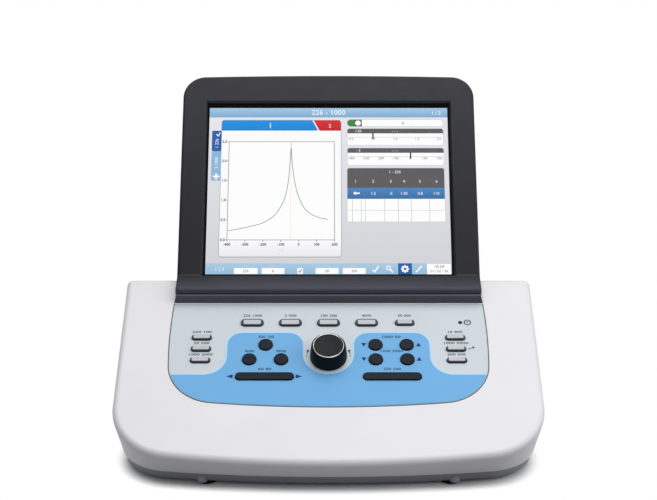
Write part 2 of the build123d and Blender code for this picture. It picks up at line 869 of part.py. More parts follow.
# The knob: a tapered body over the bushing, a bright ring and a dished cap, on a shaft that the encoder holds
knob_axis_plane = Plane(origin=deck.from_local_coords((0, knob_place, 0)), x_dir=(1, 0, 0), z_dir=-deck.y_dir)
knob_axis = Axis(knob_axis_plane.origin, deck.z_dir)
knob_foot = knob_diameter / 2
knob_head = knob_top_diameter / 2
ring_bottom = knob_height - knob_ring_height
cap_radius = knob_head - knob_ring_thickness
boss_radius = knob_boss_diameter / 2
shaft_radius = shaft_diameter / 2
shaft_top = ring_bottom - knob_roof / 2
boss_bottom = bushing_top + seat_gap
with BuildPart() as knob_body:
    with BuildSketch(knob_axis_plane):
        with BuildLine():
            Polyline(
                (0, knob_lift),
                (knob_foot, knob_lift),
                (knob_foot, knob_lift + knob_skirt),
                (knob_head, ring_bottom),
                (0, ring_bottom),
                close=True,
            )
        make_face()
        with BuildLine():
            Polyline(
                (boss_radius, knob_lift),
                (knob_foot - knob_wall, knob_lift),
                (knob_head - knob_wall, ring_bottom - knob_roof),
                (boss_radius, ring_bottom - knob_roof),
                close=True,
            )
        make_face(mode=Mode.SUBTRACT)
        with Locations((boss_radius / 2, (knob_lift + boss_bottom) / 2)):
            Rectangle(boss_radius, boss_bottom - knob_lift, mode=Mode.SUBTRACT)
        with Locations((shaft_radius / 2, (boss_bottom + shaft_top) / 2)):
            Rectangle(shaft_radius, shaft_top - boss_bottom, mode=Mode.SUBTRACT)
    revolve(axis=knob_axis)
    crown_edges = knob_body.edges().filter_by(GeomType.CIRCLE).filter_by(lambda edge: edge.radius > knob_head - seam)
    fillet(crown_edges.sort_by(knob_axis)[0], radius=knob_edge_radius)
knob_body.part.label = "knob_body"
export_step(knob_body.part, "parts/knob_body.step")

with BuildPart() as knob_ring:
    with BuildSketch(deck.offset(ring_bottom)):
        with Locations((0, knob_place)):
            Circle(knob_head)
            Circle(cap_radius, mode=Mode.SUBTRACT)
    extrude(amount=knob_ring_height)
    fillet(knob_ring.edges().filter_by(GeomType.CIRCLE).sort_by(knob_axis)[-2:], radius=knob_edge_radius)
knob_ring.part.label = "knob_ring"
export_step(knob_ring.part, "parts/knob_ring.step")

cap_edge = cap_radius - shaft_clearance
cap_top = knob_height - seam
with BuildPart() as knob_cap:
    with BuildSketch(knob_axis_plane):
        with BuildLine():
            Polyline((-cap_edge, cap_top), (-cap_edge, ring_bottom), (cap_edge, ring_bottom), (cap_edge, cap_top))
            ThreePointArc((cap_edge, cap_top), (0, cap_top - knob_dish), (-cap_edge, cap_top))
        make_face()
        with Locations((-cap_edge / 2, (ring_bottom + cap_top) / 2)):
            Rectangle(cap_edge, knob_height, mode=Mode.SUBTRACT)
    revolve(axis=knob_axis)
knob_cap.part.label = "knob_cap"
export_step(knob_cap.part, "parts/knob_cap.step")

shaft_foot = board_top - encoder_floor
with BuildPart() as knob_shaft:
    with BuildSketch(deck.offset(-shaft_foot + seat_gap)):
        with Locations((0, knob_place)):
            Circle(shaft_radius)
    extrude(amount=shaft_foot + shaft_top - 2 * seat_gap)
knob_shaft.part.label = "knob_shaft"
export_step(knob_shaft.part, "parts/knob_shaft.step")

with BuildPart() as encoder:
    with BuildSketch(deck.offset(-board_top)):
        with Locations((0, knob_place)):
            Rectangle(encoder_width, encoder_length)
    extrude(amount=board_top - panel_thickness)
    with BuildSketch(deck.offset(-panel_thickness)):
        with Locations((0, knob_place)):
            Circle(bushing_diameter / 2)
    extrude(amount=panel_thickness + bushing_top)
    with BuildSketch(deck.offset(-shaft_foot)):
        with Locations((0, knob_place)):
            Circle(shaft_radius + shaft_clearance)
    extrude(amount=shaft_foot + bushing_top, mode=Mode.SUBTRACT)
encoder.part.label = "encoder"
export_step(encoder.part, "parts/encoder.step")

with BuildPart() as encoder_nut:
    with BuildSketch(deck):
        with Locations((0, knob_place)):
            RegularPolygon(nut_across / 2, 6, major_radius=False)
            Circle(bushing_diameter / 2 + shaft_clearance, mode=Mode.SUBTRACT)
    extrude(amount=nut_height)
encoder_nut.part.label = "encoder_nut"
export_step(encoder_nut.part, "parts/encoder_nut.step")

# The screen housing: a front bezel with its chin, a rear cover, and the strip in front of the chin
housing_outer = housing_form(0)
housing_inner = housing_form(-housing_wall)
foot_plane = Plane(origin=screen.origin, x_dir=(1, 0, 0), z_dir=-screen.y_dir)
with BuildPart() as display_bezel:
    add(housing_outer)
    add(housing_inner, mode=Mode.SUBTRACT)
    split(bisect_by=screen.offset(-bezel_back), keep=Keep.TOP)
    with BuildSketch(screen.offset(bezel_front - housing_wall)):
        with Locations((0, picture_middle)):
            Rectangle(picture_width + 2 * picture_border, picture_height + 2 * picture_border)
    extrude(amount=housing_foot_depth, taper=-opening_slope, mode=Mode.SUBTRACT)
    front_face = display_bezel.faces().filter_by(GeomType.PLANE).sort_by(SortBy.AREA)[-1]
    outer_edges = front_face.outer_wire().edges().filter_by(lambda edge: edge.center().Z > screen.origin.Z + chin_height)
    fillet(outer_edges, radius=housing_edge_radius)
display_bezel.part.label = "display_bezel"
export_step(display_bezel.part, "parts/display_bezel.step")

with BuildPart() as display_rear_cover:
    add(housing_outer)
    add(housing_inner, mode=Mode.SUBTRACT)
    split(bisect_by=screen.offset(-bezel_back), keep=Keep.BOTTOM)
    with BuildSketch(screen.offset(-housing_rear_depth + housing_wall)):
        with Locations((-vent_spread, vent_place), (vent_spread, vent_place)):
            with GridLocations(vent_length, vent_pitch, 1, vent_count):
                SlotOverall(vent_length, vent_width)
    extrude(amount=-housing_foot_depth, mode=Mode.SUBTRACT)
    with BuildSketch(foot_plane):
        with Locations(carrier_holes):
            Circle(screw_bore / 2)
    extrude(amount=-housing_wall, mode=Mode.SUBTRACT)
display_rear_cover.part.label = "display_rear_cover"
export_step(display_rear_cover.part, "parts/display_rear_cover.step")

with BuildPart() as chin_strip:
    with BuildSketch(deck_side) as strip_section:
        with BuildLine():
            Polyline(
                (panel_rear + seam, 0),
                (panel_rear + seam + strip_lean, strip_height),
                (panel_rear + seam + strip_thickness, strip_height),
                (panel_rear + seam + strip_thickness, 0),
                close=True,
            )
        make_face()
        fillet(strip_section.vertices().sort_by(Axis.Y)[-2:], radius=strip_corner_radius)
    extrude(amount=strip_width / 2, both=True)
chin_strip.part.label = "chin_strip"
export_step(chin_strip.part, "parts/chin_strip.step")

with BuildPart() as display_window:
    with BuildSketch(screen.offset(window_gap)):
        with Locations((0, picture_middle)):
            Rectangle(picture_width + 2 * window_margin, picture_height + 2 * window_margin)
    extrude(amount=window_thickness)
display_window.part.label = "display_window"
export_step(display_window.part, "parts/display_window.step")

with BuildPart() as lcd_module:
    with BuildSketch(screen):
        with Locations((0, picture_middle)):
            Rectangle(picture_width + 2 * module_margin_across, picture_height + 2 * module_margin_along)
    extrude(amount=-module_thickness)
lcd_module.part.label = "lcd_module"
export_step(lcd_module.part, "parts/lcd_module.step")

carrier_top = picture_lift + picture_height
carrier_middle = (housing_wall + carrier_top) / 2
carrier_window = carrier_top - housing_wall - 4 * carrier_margin
flange_reach = module_thickness + carrier_flange
with BuildPart() as display_carrier:
    with BuildSketch(screen.offset(-module_thickness)):
        with Locations((0, carrier_middle)):
            Rectangle(carrier_width, carrier_top - housing_wall)
            with GridLocations(carrier_width / 2, 0, 2, 1):
                RectangleRounded(carrier_width / 2 - carrier_margin, carrier_window, carrier_margin / 2,
                                 mode=Mode.SUBTRACT)
    extrude(amount=-carrier_thickness)
    with BuildSketch(foot_plane.offset(-housing_wall)):
        with Locations((0, -(module_thickness + flange_reach) / 2)):
            Rectangle(carrier_width, carrier_flange)
        with Locations(carrier_holes):
            Circle(screw_bore / 2, mode=Mode.SUBTRACT)
    extrude(amount=-carrier_thickness)
display_carrier.part.label = "display_carrier"
export_step(display_carrier.part, "parts/display_carrier.step")

# The sockets at the rear, each let through one plate
plate_back = rear_face.offset(rear_plate_thickness)
jack_places = [(jack_place + jack_pitch * n, rear_plate_middle) for n in range(jack_count)]
usb_places = [(usb_place + usb_pitch * n, rear_plate_middle) for n in range(usb_count)]
inlet_spot = (inlet_place, rear_plate_middle)
switch_spot = (power_switch_place, rear_plate_middle)
probe_spot = (probe_place, rear_plate_middle)
with BuildPart() as rear_socket_plate:
    with BuildSketch(rear_face):
        with Locations((0, rear_plate_middle)):
            RectangleRounded(rear_plate_width - seam, rear_plate_height - seam, rear_plate_radius)
        with Locations(inlet_spot):
            Rectangle(inlet_width + seam, inlet_height + seam, mode=Mode.SUBTRACT)
        with Locations(switch_spot):
            Rectangle(power_switch_width + seam, power_switch_height + seam, mode=Mode.SUBTRACT)
        with Locations(usb_places):
            Rectangle(usb_width + seam, usb_height + seam, mode=Mode.SUBTRACT)
        with Locations(jack_places):
            Circle((jack_collar_diameter + seam) / 2, mode=Mode.SUBTRACT)
        with Locations(probe_spot):
            Circle((probe_barrel + seam) / 2, mode=Mode.SUBTRACT)
    extrude(amount=rear_plate_thickness)
rear_socket_plate.part.label = "rear_socket_plate"
export_step(rear_socket_plate.part, "parts/rear_socket_plate.step")

with BuildPart() as power_inlet:
    with BuildSketch(rear_face):
        with Locations(inlet_spot):
            Rectangle(inlet_width, inlet_height)
    extrude(amount=inlet_body_depth)
    with BuildSketch(rear_face):
        with Locations(inlet_spot):
            RectangleRounded(inlet_width + 2 * inlet_flange, inlet_height + 2 * inlet_flange, inlet_flange)
    extrude(amount=-inlet_flange_thickness)
    with BuildSketch(rear_face.offset(-inlet_flange_thickness)) as mouth:
        with Locations(inlet_spot):
            Rectangle(inlet_mouth_width, inlet_mouth_height)
        chamfer(mouth.vertices().group_by(Axis.Y)[-1], length=inlet_chamfer)
    extrude(amount=inlet_flange_thickness + inlet_mouth_depth, mode=Mode.SUBTRACT)
power_inlet.part.label = "power_inlet"
export_step(power_inlet.part, "parts/power_inlet.step")

with BuildPart() as inlet_pins:
    with BuildSketch(rear_face.offset(inlet_mouth_depth)):
        with Locations((inlet_place, rear_plate_middle + pin_rise)):
            Rectangle(pin_thickness, pin_width)
        with Locations((inlet_place, rear_plate_middle - pin_rise)):
            with GridLocations(2 * pin_spread, 0, 2, 1):
                Rectangle(pin_thickness, pin_width)
    extrude(amount=-pin_length)
inlet_pins.part.label = "inlet_pins"
export_step(inlet_pins.part, "parts/inlet_pins.step")

rocker_room = power_switch_width - 2 * power_switch_wall
rocker_width = rocker_room - 2 * rocker_clearance
rocker_end = power_switch_height / 2 - power_switch_wall - rocker_end_gap
rocker_rise = rocker_pin_drop + rocker_proud
rocker_fall = radians(rocker_swing)
rocker_pivot = rear_face.from_local_coords((power_switch_place, rear_plate_middle, rocker_pin_drop))
rocker_section = Plane(
    origin=rocker_pivot,
    x_dir=(0, -sin(rocker_fall), cos(rocker_fall)),
    z_dir=(1, 0, 0),
)
pivot_section = Plane(origin=rocker_pivot, x_dir=(0, 0, 1), z_dir=(1, 0, 0))
with BuildPart() as power_switch:
    with BuildSketch(rear_face):
        with Locations(switch_spot):
            Rectangle(power_switch_width, power_switch_height)
    extrude(amount=power_switch_depth)
    with BuildSketch(rear_face):
        with Locations(switch_spot):
            RectangleRounded(power_switch_width + 2 * power_switch_wall, power_switch_height + 2 * power_switch_wall,
                             power_switch_wall)
    extrude(amount=-power_switch_wall)
    with BuildSketch(rear_face.offset(-power_switch_wall)):
        with Locations(switch_spot):
            Rectangle(rocker_room, power_switch_height - 2 * power_switch_wall)
    extrude(amount=power_switch_depth, mode=Mode.SUBTRACT)
    with BuildSketch(pivot_section):
        Circle(rocker_pin_diameter / 2 + shaft_clearance)
    extrude(amount=rocker_room / 2 + power_switch_wall * 3 / 4, both=True, mode=Mode.SUBTRACT)
power_switch.part.label = "power_switch"
export_step(power_switch.part, "parts/power_switch.step")

with BuildPart() as power_rocker:
    with BuildSketch(rocker_section):
        with BuildLine():
            Polyline(
                (-rocker_end, -rocker_rise),
                (0, -rocker_rise + rocker_proud),
                (rocker_end, -rocker_rise),
                (rocker_end / 2, rocker_pin_drop),
                (-rocker_end / 2, rocker_pin_drop),
                close=True,
            )
        make_face()
    extrude(amount=rocker_width / 2, both=True)
    with BuildSketch(pivot_section):
        Circle(rocker_pin_diameter / 2)
    extrude(amount=rocker_room / 2 + power_switch_wall / 2, both=True)
power_rocker.part.label = "power_rocker"
export_step(power_rocker.part, "parts/power_rocker.step")

with BuildPart() as usb_sockets:
    with BuildSketch(rear_face.offset(-usb_wall)):
        with Locations(usb_places):
            Rectangle(usb_width, usb_height)
    extrude(amount=usb_depth)
    with BuildSketch(rear_face.offset(-usb_wall)):
        with Locations(usb_places):
            Rectangle(usb_width - 2 * usb_wall, usb_height - 2 * usb_wall)
    extrude(amount=usb_depth - usb_wall, mode=Mode.SUBTRACT)
    with BuildSketch(rear_face.offset(usb_tongue_depth)):
        with Locations(usb_places):
            Rectangle(usb_width - 4 * usb_wall, usb_tongue_thickness)
    extrude(amount=usb_depth - usb_wall - usb_tongue_depth)
usb_sockets.part.label = "usb_sockets"
export_step(usb_sockets.part, "parts/usb_sockets.step")

with BuildPart() as headphone_jacks:
    with BuildSketch(rear_face.offset(rear_plate_thickness)):
        with Locations(jack_places):
            Rectangle(jack_body_width, jack_body_height)
    extrude(amount=jack_body_depth)
    with BuildSketch(rear_face.offset(-jack_collar_proud)):
        with Locations(jack_places):
            Circle(jack_collar_diameter / 2)
    extrude(amount=jack_collar_proud + rear_plate_thickness)
    with BuildSketch(rear_face.offset(-jack_collar_proud)):
        with Locations(jack_places):
            Circle(jack_bore / 2)
    extrude(amount=jack_body_depth, mode=Mode.SUBTRACT)
headphone_jacks.part.label = "headphone_jacks"
export_step(headphone_jacks.part, "parts/headphone_jacks.step")

nozzle_diameter = tube_bore - 2 * nozzle_clearance
probe_back = rear_plate_thickness + probe_body_depth
with BuildPart() as probe_socket:
    with BuildSketch(rear_face.offset(-probe_proud)):
        with Locations(probe_spot):
            Circle(probe_barrel / 2)
    extrude(amount=probe_proud + rear_plate_thickness)
    with BuildSketch(rear_face.offset(rear_plate_thickness)):
        with Locations(probe_spot):
            Circle(probe_flange / 2)
    extrude(amount=probe_body_depth)
    with BuildSketch(rear_face):
        with Locations(probe_spot):
            RegularPolygon(probe_flange / 2, 6, major_radius=False)
    extrude(amount=-probe_nut_thickness)
    with BuildSketch(rear_face.offset(-probe_proud)):
        with Locations(probe_spot):
            Circle(probe_bore / 2)
    extrude(amount=probe_bore_depth, mode=Mode.SUBTRACT)
    with BuildSketch(rear_face.offset(probe_back)):
        with Locations(probe_spot):
            Circle(nozzle_diameter / 2)
    extrude(amount=nozzle_length)
probe_socket.part.label = "probe_socket"
export_step(probe_socket.part, "parts/probe_socket.step")

# The air pump lies across the case, its motor on the right and its outlet on the left
pump_height = rear_plate_middle
pump_start = (pump_motor_face, pump_middle, pump_height)
pump = Plane(origin=pump_start, x_dir=(0, 0, 1), z_dir=(-1, 0, 0))
bracket_rise = pump_height - board_seat + guide_rise + guide_ear / 2
cylinder_bore = piston_diameter + 2 * piston_clearance
screw_room = lead_screw_diameter + 2 * piston_clearance
piston_end = piston_rest + piston_rod_length + piston_thickness
bore_end = piston_end - piston_crown
with BuildPart() as pump_bracket:
    with BuildSketch(Plane.XY.offset(board_seat)):
        with Locations((bracket_left + bracket_length / 2, pump_middle)):
            Rectangle(bracket_length, bracket_depth)
        with Locations(bracket_corners):
            Circle(screw_bore / 2, mode=Mode.SUBTRACT)
    extrude(amount=bracket_thickness)
    for distance in (-bracket_thickness, bracket_span):
        with BuildSketch(pump.offset(distance)):
            with Locations((board_seat - pump_height + bracket_rise / 2, 0)):
                Rectangle(bracket_rise, bracket_depth)
        extrude(amount=bracket_thickness)
    with BuildSketch(pump.offset(-bracket_thickness)):
        Circle(motor_boss_diameter / 2 + seam)
    extrude(amount=bracket_thickness, mode=Mode.SUBTRACT)
    with BuildSketch(pump.offset(bracket_span)):
        Circle(cylinder_bore / 2)
    extrude(amount=bracket_thickness, mode=Mode.SUBTRACT)
    with BuildSketch(pump):
        with Locations((guide_rise, 0)):
            Circle(guide_diameter / 2)
    extrude(amount=bracket_span)
pump_bracket.part.label = "pump_bracket"
export_step(pump_bracket.part, "parts/pump_bracket.step")

with BuildPart() as pump_motor:
    with BuildSketch(pump.offset(-bracket_thickness)):
        RectangleRounded(motor_flange_across, motor_flange_across, motor_flange_thickness)
    extrude(amount=-motor_flange_thickness)
    with BuildSketch(pump.offset(-bracket_thickness - motor_flange_thickness)):
        Circle(motor_diameter / 2)
    extrude(amount=-motor_length)
    with BuildSketch(pump.offset(-bracket_thickness)):
        Circle(motor_boss_diameter / 2)
    extrude(amount=motor_boss_length)
    with BuildSketch(pump):
        Circle(lead_screw_diameter / 2 + shaft_clearance)
    extrude(amount=-bracket_thickness - motor_flange_thickness, mode=Mode.SUBTRACT)
pump_motor.part.label = "pump_motor"
export_step(pump_motor.part, "parts/pump_motor.step")

with BuildPart() as lead_screw:
    with BuildSketch(pump.offset(-bracket_thickness)):
        Circle(lead_screw_diameter / 2)
    extrude(amount=bracket_thickness + lead_screw_length)
    chamfer(lead_screw.edges().sort_by(Axis.X)[0], length=bracket_thickness / 2)
lead_screw.part.label = "lead_screw"
export_step(lead_screw.part, "parts/lead_screw.step")

with BuildPart() as pump_piston:
    with BuildSketch(pump.offset(piston_rest)):
        Circle(piston_rod_diameter / 2)
    extrude(amount=piston_rod_length)
    with BuildSketch(pump.offset(piston_rest)):
        Circle(piston_nut_diameter / 2)
        with Locations((guide_rise / 2, 0)):
            Rectangle(guide_rise, guide_ear)
        with Locations((guide_rise, 0)):
            Circle(guide_ear / 2)
            Circle(guide_diameter / 2 + piston_clearance, mode=Mode.SUBTRACT)
    extrude(amount=piston_nut_length)
    with BuildSketch(pump.offset(piston_rest + piston_rod_length)):
        Circle(piston_diameter / 2)
    extrude(amount=piston_thickness)
    with BuildSketch(pump.offset(piston_end - piston_thickness / 2 - piston_groove / 2)):
        Circle(piston_diameter / 2)
        Circle(piston_diameter / 2 - piston_groove, mode=Mode.SUBTRACT)
    extrude(amount=piston_groove, mode=Mode.SUBTRACT)
    with BuildSketch(pump):
        Circle(screw_room / 2)
    extrude(amount=bore_end, mode=Mode.SUBTRACT)
pump_piston.part.label = "pump_piston"
export_step(pump_piston.part, "parts/pump_piston.step")

cylinder_face = bracket_span + bracket_thickness
cylinder_radius = cylinder_bore / 2 + cylinder_wall
with BuildPart() as pump_cylinder:
    with BuildSketch(pump.offset(cylinder_face)):
        Circle(cylinder_radius)
    extrude(amount=cylinder_length)
    with BuildSketch(pump.offset(cylinder_face)):
        Circle(cylinder_radius + cylinder_flange)
    extrude(amount=cylinder_flange_thickness)
    with BuildSketch(pump.offset(cylinder_face)):
        Circle(cylinder_bore / 2)
    extrude(amount=cylinder_length - end_cap_thickness, mode=Mode.SUBTRACT)
    with BuildSketch(pump.offset(cylinder_face + cylinder_length - end_cap_thickness)):
        Circle(tube_bore / 2)
    extrude(amount=end_cap_thickness, mode=Mode.SUBTRACT)
pump_cylinder.part.label = "pump_cylinder"
export_step(pump_cylinder.part, "parts/pump_cylinder.step")

manifold_face = cylinder_face + cylinder_length
with BuildPart() as pump_manifold:
    with BuildSketch(pump.offset(manifold_face)):
        RectangleRounded(manifold_height, manifold_width, cylinder_wall)
    extrude(amount=manifold_length)
    with BuildSketch(Plane.XY.offset(pump_height + manifold_height / 2)):
        with Locations((pump_motor_face - manifold_face - manifold_length / 2, pump_middle)):
            Circle(sensor_diameter / 2)
    extrude(amount=sensor_height)
    with BuildSketch(pump.offset(manifold_face + manifold_length)):
        Circle(nozzle_diameter / 2)
    extrude(amount=nozzle_length)
pump_manifold.part.label = "pump_manifold"
export_step(pump_manifold.part, "parts/pump_manifold.step")

# The air tube runs from the manifold to the back of the probe socket in one wide bend
tube_start = (pump_motor_face - manifold_face - manifold_length, pump_middle, pump_height)
tube_corner = (probe_place, pump_middle, pump_height)
tube_end = (probe_place, rear_y - probe_back, pump_height)
with BuildPart() as air_tube:
    with BuildLine() as tube_path:
        FilletPolyline(tube_start, tube_corner, tube_end, radius=tube_bend)
    with BuildSketch(Plane(origin=tube_start, x_dir=(0, 0, 1), z_dir=(-1, 0, 0))):
        Circle(tube_diameter / 2)
        Circle(tube_bore / 2, mode=Mode.SUBTRACT)
    sweep(path=tube_path.line)
air_tube.part.label = "air_tube"
export_step(air_tube.part, "parts/air_tube.step")

# The boards on the floor: the main board with its chips and shield, and the mains supply board
main_middle = (main_board_left + main_board_width / 2, main_board_front + main_board_depth / 2)
supply_middle = (supply_left + supply_width / 2, supply_front + supply_depth / 2)
board_deck = Plane.XY.offset(board_seat + board_thickness)
with BuildPart() as main_board:
    with BuildSketch(Plane.XY.offset(board_seat)):
        with Locations(main_middle):
            Rectangle(main_board_width, main_board_depth)
        with Locations(main_corners):
            Circle(screw_bore / 2, mode=Mode.SUBTRACT)
    extrude(amount=board_thickness)
    with BuildSketch(board_deck):
        with Locations(main_middle):
            with GridLocations(main_board_width / 4, main_board_depth / 3, 3, 2):
                Rectangle(main_board_width / 8, main_board_depth / 5)
    extrude(amount=chip_height)
    with BuildSketch(board_deck):
        with Locations((main_middle[0] + main_board_width / 4, main_middle[1])):
            Rectangle(main_board_width / 5, main_board_depth / 2)
    extrude(amount=shield_height)
main_board.part.label = "main_board"
export_step(main_board.part, "parts/main_board.step")

fin_pitch = (heat_sink_length - fin_thickness) / (heat_sink_fins - 1)
with BuildPart() as supply_board:
    with BuildSketch(Plane.XY.offset(board_seat)):
        with Locations(supply_middle):
            Rectangle(supply_width, supply_depth)
        with Locations(supply_corners):
            Circle(screw_bore / 2, mode=Mode.SUBTRACT)
    extrude(amount=board_thickness)
    with BuildSketch(board_deck):
        with Locations((supply_middle[0] - supply_width / 5, supply_middle[1])):
            RectangleRounded(transformer_size, transformer_size, capacitor_diameter / 8)
    extrude(amount=transformer_height)
    with BuildSketch(board_deck):
        with Locations((supply_middle[0] + supply_width / 4, supply_middle[1] + supply_depth / 4)):
            with GridLocations(0, capacitor_diameter + fin_pitch, 1, 2):
                Circle(capacitor_diameter / 2)
    extrude(amount=capacitor_height)
    with BuildSketch(board_deck):
        with Locations((supply_middle[0] + supply_width / 4, supply_middle[1] - supply_depth / 4)):
            Rectangle(fin_thickness, heat_sink_length * 2 / 3)
            with GridLocations(0, fin_pitch * 2 / 3, 1, heat_sink_fins):
                Rectangle(supply_width / 5, fin_thickness)
    extrude(amount=heat_sink_height)
supply_board.part.label = "supply_board"
export_step(supply_board.part, "parts/supply_board.step")

# One set of like screws holds the key board, the floor boards, the pump bracket and the screen carrier
key_board_screws = machine_screws(deck.offset(-board_top - board_thickness), key_posts, -1)
floor_screws = machine_screws(board_deck, main_corners + supply_corners, 1)
bracket_screws = machine_screws(Plane.XY.offset(board_seat + bracket_thickness), bracket_corners, 1)
carrier_screws = machine_screws(well_floor, carrier_holes, 1)
with BuildPart() as board_screws:
    add(key_board_screws)
    add(floor_screws)
    add(bracket_screws)
    add(carrier_screws)
board_screws.part.label = "board_screws"
export_step(board_screws.part, "parts/board_screws.step")
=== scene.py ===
import json
import math

import bmesh
import bpy
from mathutils import Matrix, Vector


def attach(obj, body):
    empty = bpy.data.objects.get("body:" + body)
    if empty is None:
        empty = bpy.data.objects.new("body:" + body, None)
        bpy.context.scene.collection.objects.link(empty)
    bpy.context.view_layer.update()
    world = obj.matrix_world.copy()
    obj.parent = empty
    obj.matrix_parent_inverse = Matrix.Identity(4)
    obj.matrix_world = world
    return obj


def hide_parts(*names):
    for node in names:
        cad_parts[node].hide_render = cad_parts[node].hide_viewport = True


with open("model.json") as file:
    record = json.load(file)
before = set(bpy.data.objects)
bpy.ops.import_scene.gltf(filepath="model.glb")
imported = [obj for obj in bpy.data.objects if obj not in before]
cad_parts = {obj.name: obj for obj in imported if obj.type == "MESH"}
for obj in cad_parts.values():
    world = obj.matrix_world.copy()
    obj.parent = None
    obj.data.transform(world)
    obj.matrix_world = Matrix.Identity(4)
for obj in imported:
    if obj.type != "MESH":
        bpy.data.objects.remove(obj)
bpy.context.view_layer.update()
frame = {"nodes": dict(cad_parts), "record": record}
nodes = frame["nodes"]
slots = {entry["node"]: entry["material_slot"] for entry in frame["record"]["subparts"]}

# Lengths are in millimetres, and in metres only where a comment says so. The frame is in metres
MM = 0.001


def tilted(turn, y, z):
    """A plane turned up about the x axis, with its origin at y and z in metres."""
    c, s = math.cos(turn), math.sin(turn)
    return Matrix(((1, 0, 0, 0), (0, c, -s, y), (0, s, c, z), (0, 0, 0, 1)))


# The planes of the sloping top of the case (the deck) and of the display
DECK = tilted(math.radians(28.0), -0.1502883, 0.0307977)
SCREEN = tilted(math.radians(51.5), 0.0092605, 0.1156315)
ON_DECK = DECK @ Matrix.Scale(MM, 4)
TO_DECK = DECK.inverted()
DECK_UP = DECK.to_3x3() @ Vector((0, 0, 1))

# The lit picture: its size, the place of its foot on the display's plane, and its grid
PICTURE = (211.2, 158.4)
PICTURE_FOOT = 11.9
PIXELS = (800, 600)
PIXEL = PICTURE[0] / PIXELS[0]

# Points of a CAD mesh that are nearer than this are one point, in metres
SAME_POINT = 0.000002

# Places on the deck are measured from its middle (x) and up its slope (v)
KNOB_ROW = 105.7
BAR_ROW = 84.6
BAR_SIZE = (47.6, 7.4)
BARS = {"push_bar": 51.8, "rocker_bar": -51.8}


# Materials

# How fine the unevenness of a surface is, in cells per metre
TONE_CELLS, GLOSS_CELLS, WEAR_CELLS = 17.0, 70.0, 160.0
# How far the roughness goes up and down from its middle, and the least that it can be
GLOSS_SWING, GLOSS_LEAST = 0.04, 0.02
# How well two normals agree where the surface is taken as flat, and where it is taken as an edge
FLAT, EDGE = 0.98, 0.75


def ink(code):
    """A colour written as on a screen, as the shader's linear values."""
    values = [int(code[n:n + 2], 16) / 255 for n in (0, 2, 4)]
    linear = [v / 12.92 if v <= 0.04045 else ((v + 0.055) / 1.055) ** 2.4 for v in values]
    return (*linear, 1.0)


def shade(colour, factor):
    """The colour made lighter or darker."""
    return (*(min(1.0, v * factor) for v in colour[:3]), 1.0)


def bare(name):
    """A new material, with its node tree and its shader."""
    material = bpy.data.materials.new(name)
    material.use_nodes = True
    tree = material.node_tree
    return material, tree, tree.nodes["Principled BSDF"]


def feed(tree, node, inputs):
    """Gives inputs of a node fixed values, or links them to other nodes' outputs."""
    for key, value in inputs.items():
        if isinstance(value, bpy.types.NodeSocket):
            tree.links.new(value, node.inputs[key])
        else:
            node.inputs[key].default_value = value


def add(tree, kind, inputs=None):
    """A new node with its inputs fed."""
    node = tree.nodes.new(kind)
    feed(tree, node, inputs or {})
    return node


def reckoned(tree, operation, first, second):
    """Two numbers put together by an operation."""
    node = add(tree, "ShaderNodeMath", {0: first, 1: second})
    node.operation = operation
    return node.outputs["Value"]


def object_height(tree):
    """The height above the table, in metres."""
    place = add(tree, "ShaderNodeTexCoord").outputs["Object"]
    return add(tree, "ShaderNodeSeparateXYZ", {"Vector": place}).outputs["Z"]


def noise(tree, scale, detail=2.0, stretch=None):
    """Noise over the object's own coordinates. The scale is in cells per metre."""
    place = add(tree, "ShaderNodeTexCoord").outputs["Object"]
    if stretch:
        stretched = add(tree, "ShaderNodeMapping", {"Vector": place, "Scale": stretch})
        place = stretched.outputs["Vector"]
    texture = add(tree, "ShaderNodeTexNoise", {"Vector": place, "Scale": scale, "Detail": detail})
    return texture.outputs["Fac"]


def ramp(tree, source, low, high, first, last):
    """The source spread between two colours or two numbers."""
    if isinstance(first, tuple):
        node = add(tree, "ShaderNodeValToRGB", {"Fac": source})
        stops = node.color_ramp.elements
        stops[0].position, stops[0].color = low, first
        stops[1].position, stops[1].color = high, last
        return node.outputs["Color"]
    return add(tree, "ShaderNodeMapRange", {
        "Value": source, "From Min": low, "From Max": high, "To Min": first, "To Max": last,
    }).outputs["Result"]


def edges(tree, radius):
    """How near an edge the surface is, 0 on the flat and 1 on the edge, and the eased normal."""
    bevel = add(tree, "ShaderNodeBevel", {"Radius": radius * MM})
    bevel.samples = 4
    eased = bevel.outputs["Normal"]
    surface = add(tree, "ShaderNodeNewGeometry").outputs["Normal"]
    dot = add(tree, "ShaderNodeVectorMath", {0: eased, 1: surface})
    dot.operation = "DOT_PRODUCT"
    return ramp(tree, dot.outputs["Value"], FLAT, EDGE, 0.0, 1.0), eased


def worn(tree, colour, edge, rubbed):
    """The colour, rubbed to another one in patches along the edges."""
    patches = ramp(tree, noise(tree, WEAR_CELLS, 3.0), 0.4, 0.6, 0.25, 0.9)
    return add(tree, "ShaderNodeMixRGB", {
        "Fac": reckoned(tree, "MULTIPLY", edge, patches), "Color1": colour, "Color2": rubbed,
    }).outputs["Color"]


def with_painted_light_by_height(tree, colour, painted_light_by_height):
    """The colour with painted light and shade by height: at each height above the table only its
    given share of the colour is kept.
    """
    (low, _), (high, _) = painted_light_by_height[0], painted_light_by_height[-1]
    way = ramp(tree, object_height(tree), low * MM, high * MM, 0.0, 1.0)
    shares = add(tree, "ShaderNodeValToRGB", {"Fac": way})
    for height, _ in painted_light_by_height[1:-1]:
        shares.color_ramp.elements.new((height - low) / (high - low))
    for stop, (_, share) in zip(shares.color_ramp.elements, painted_light_by_height):
        stop.color = (share, share, share, 1.0)
    product = add(tree, "ShaderNodeMixRGB", {
        "Fac": 1.0, "Color1": colour, "Color2": shares.outputs["Color"],
    })
    product.blend_type = "MULTIPLY"
    return product.outputs["Color"]


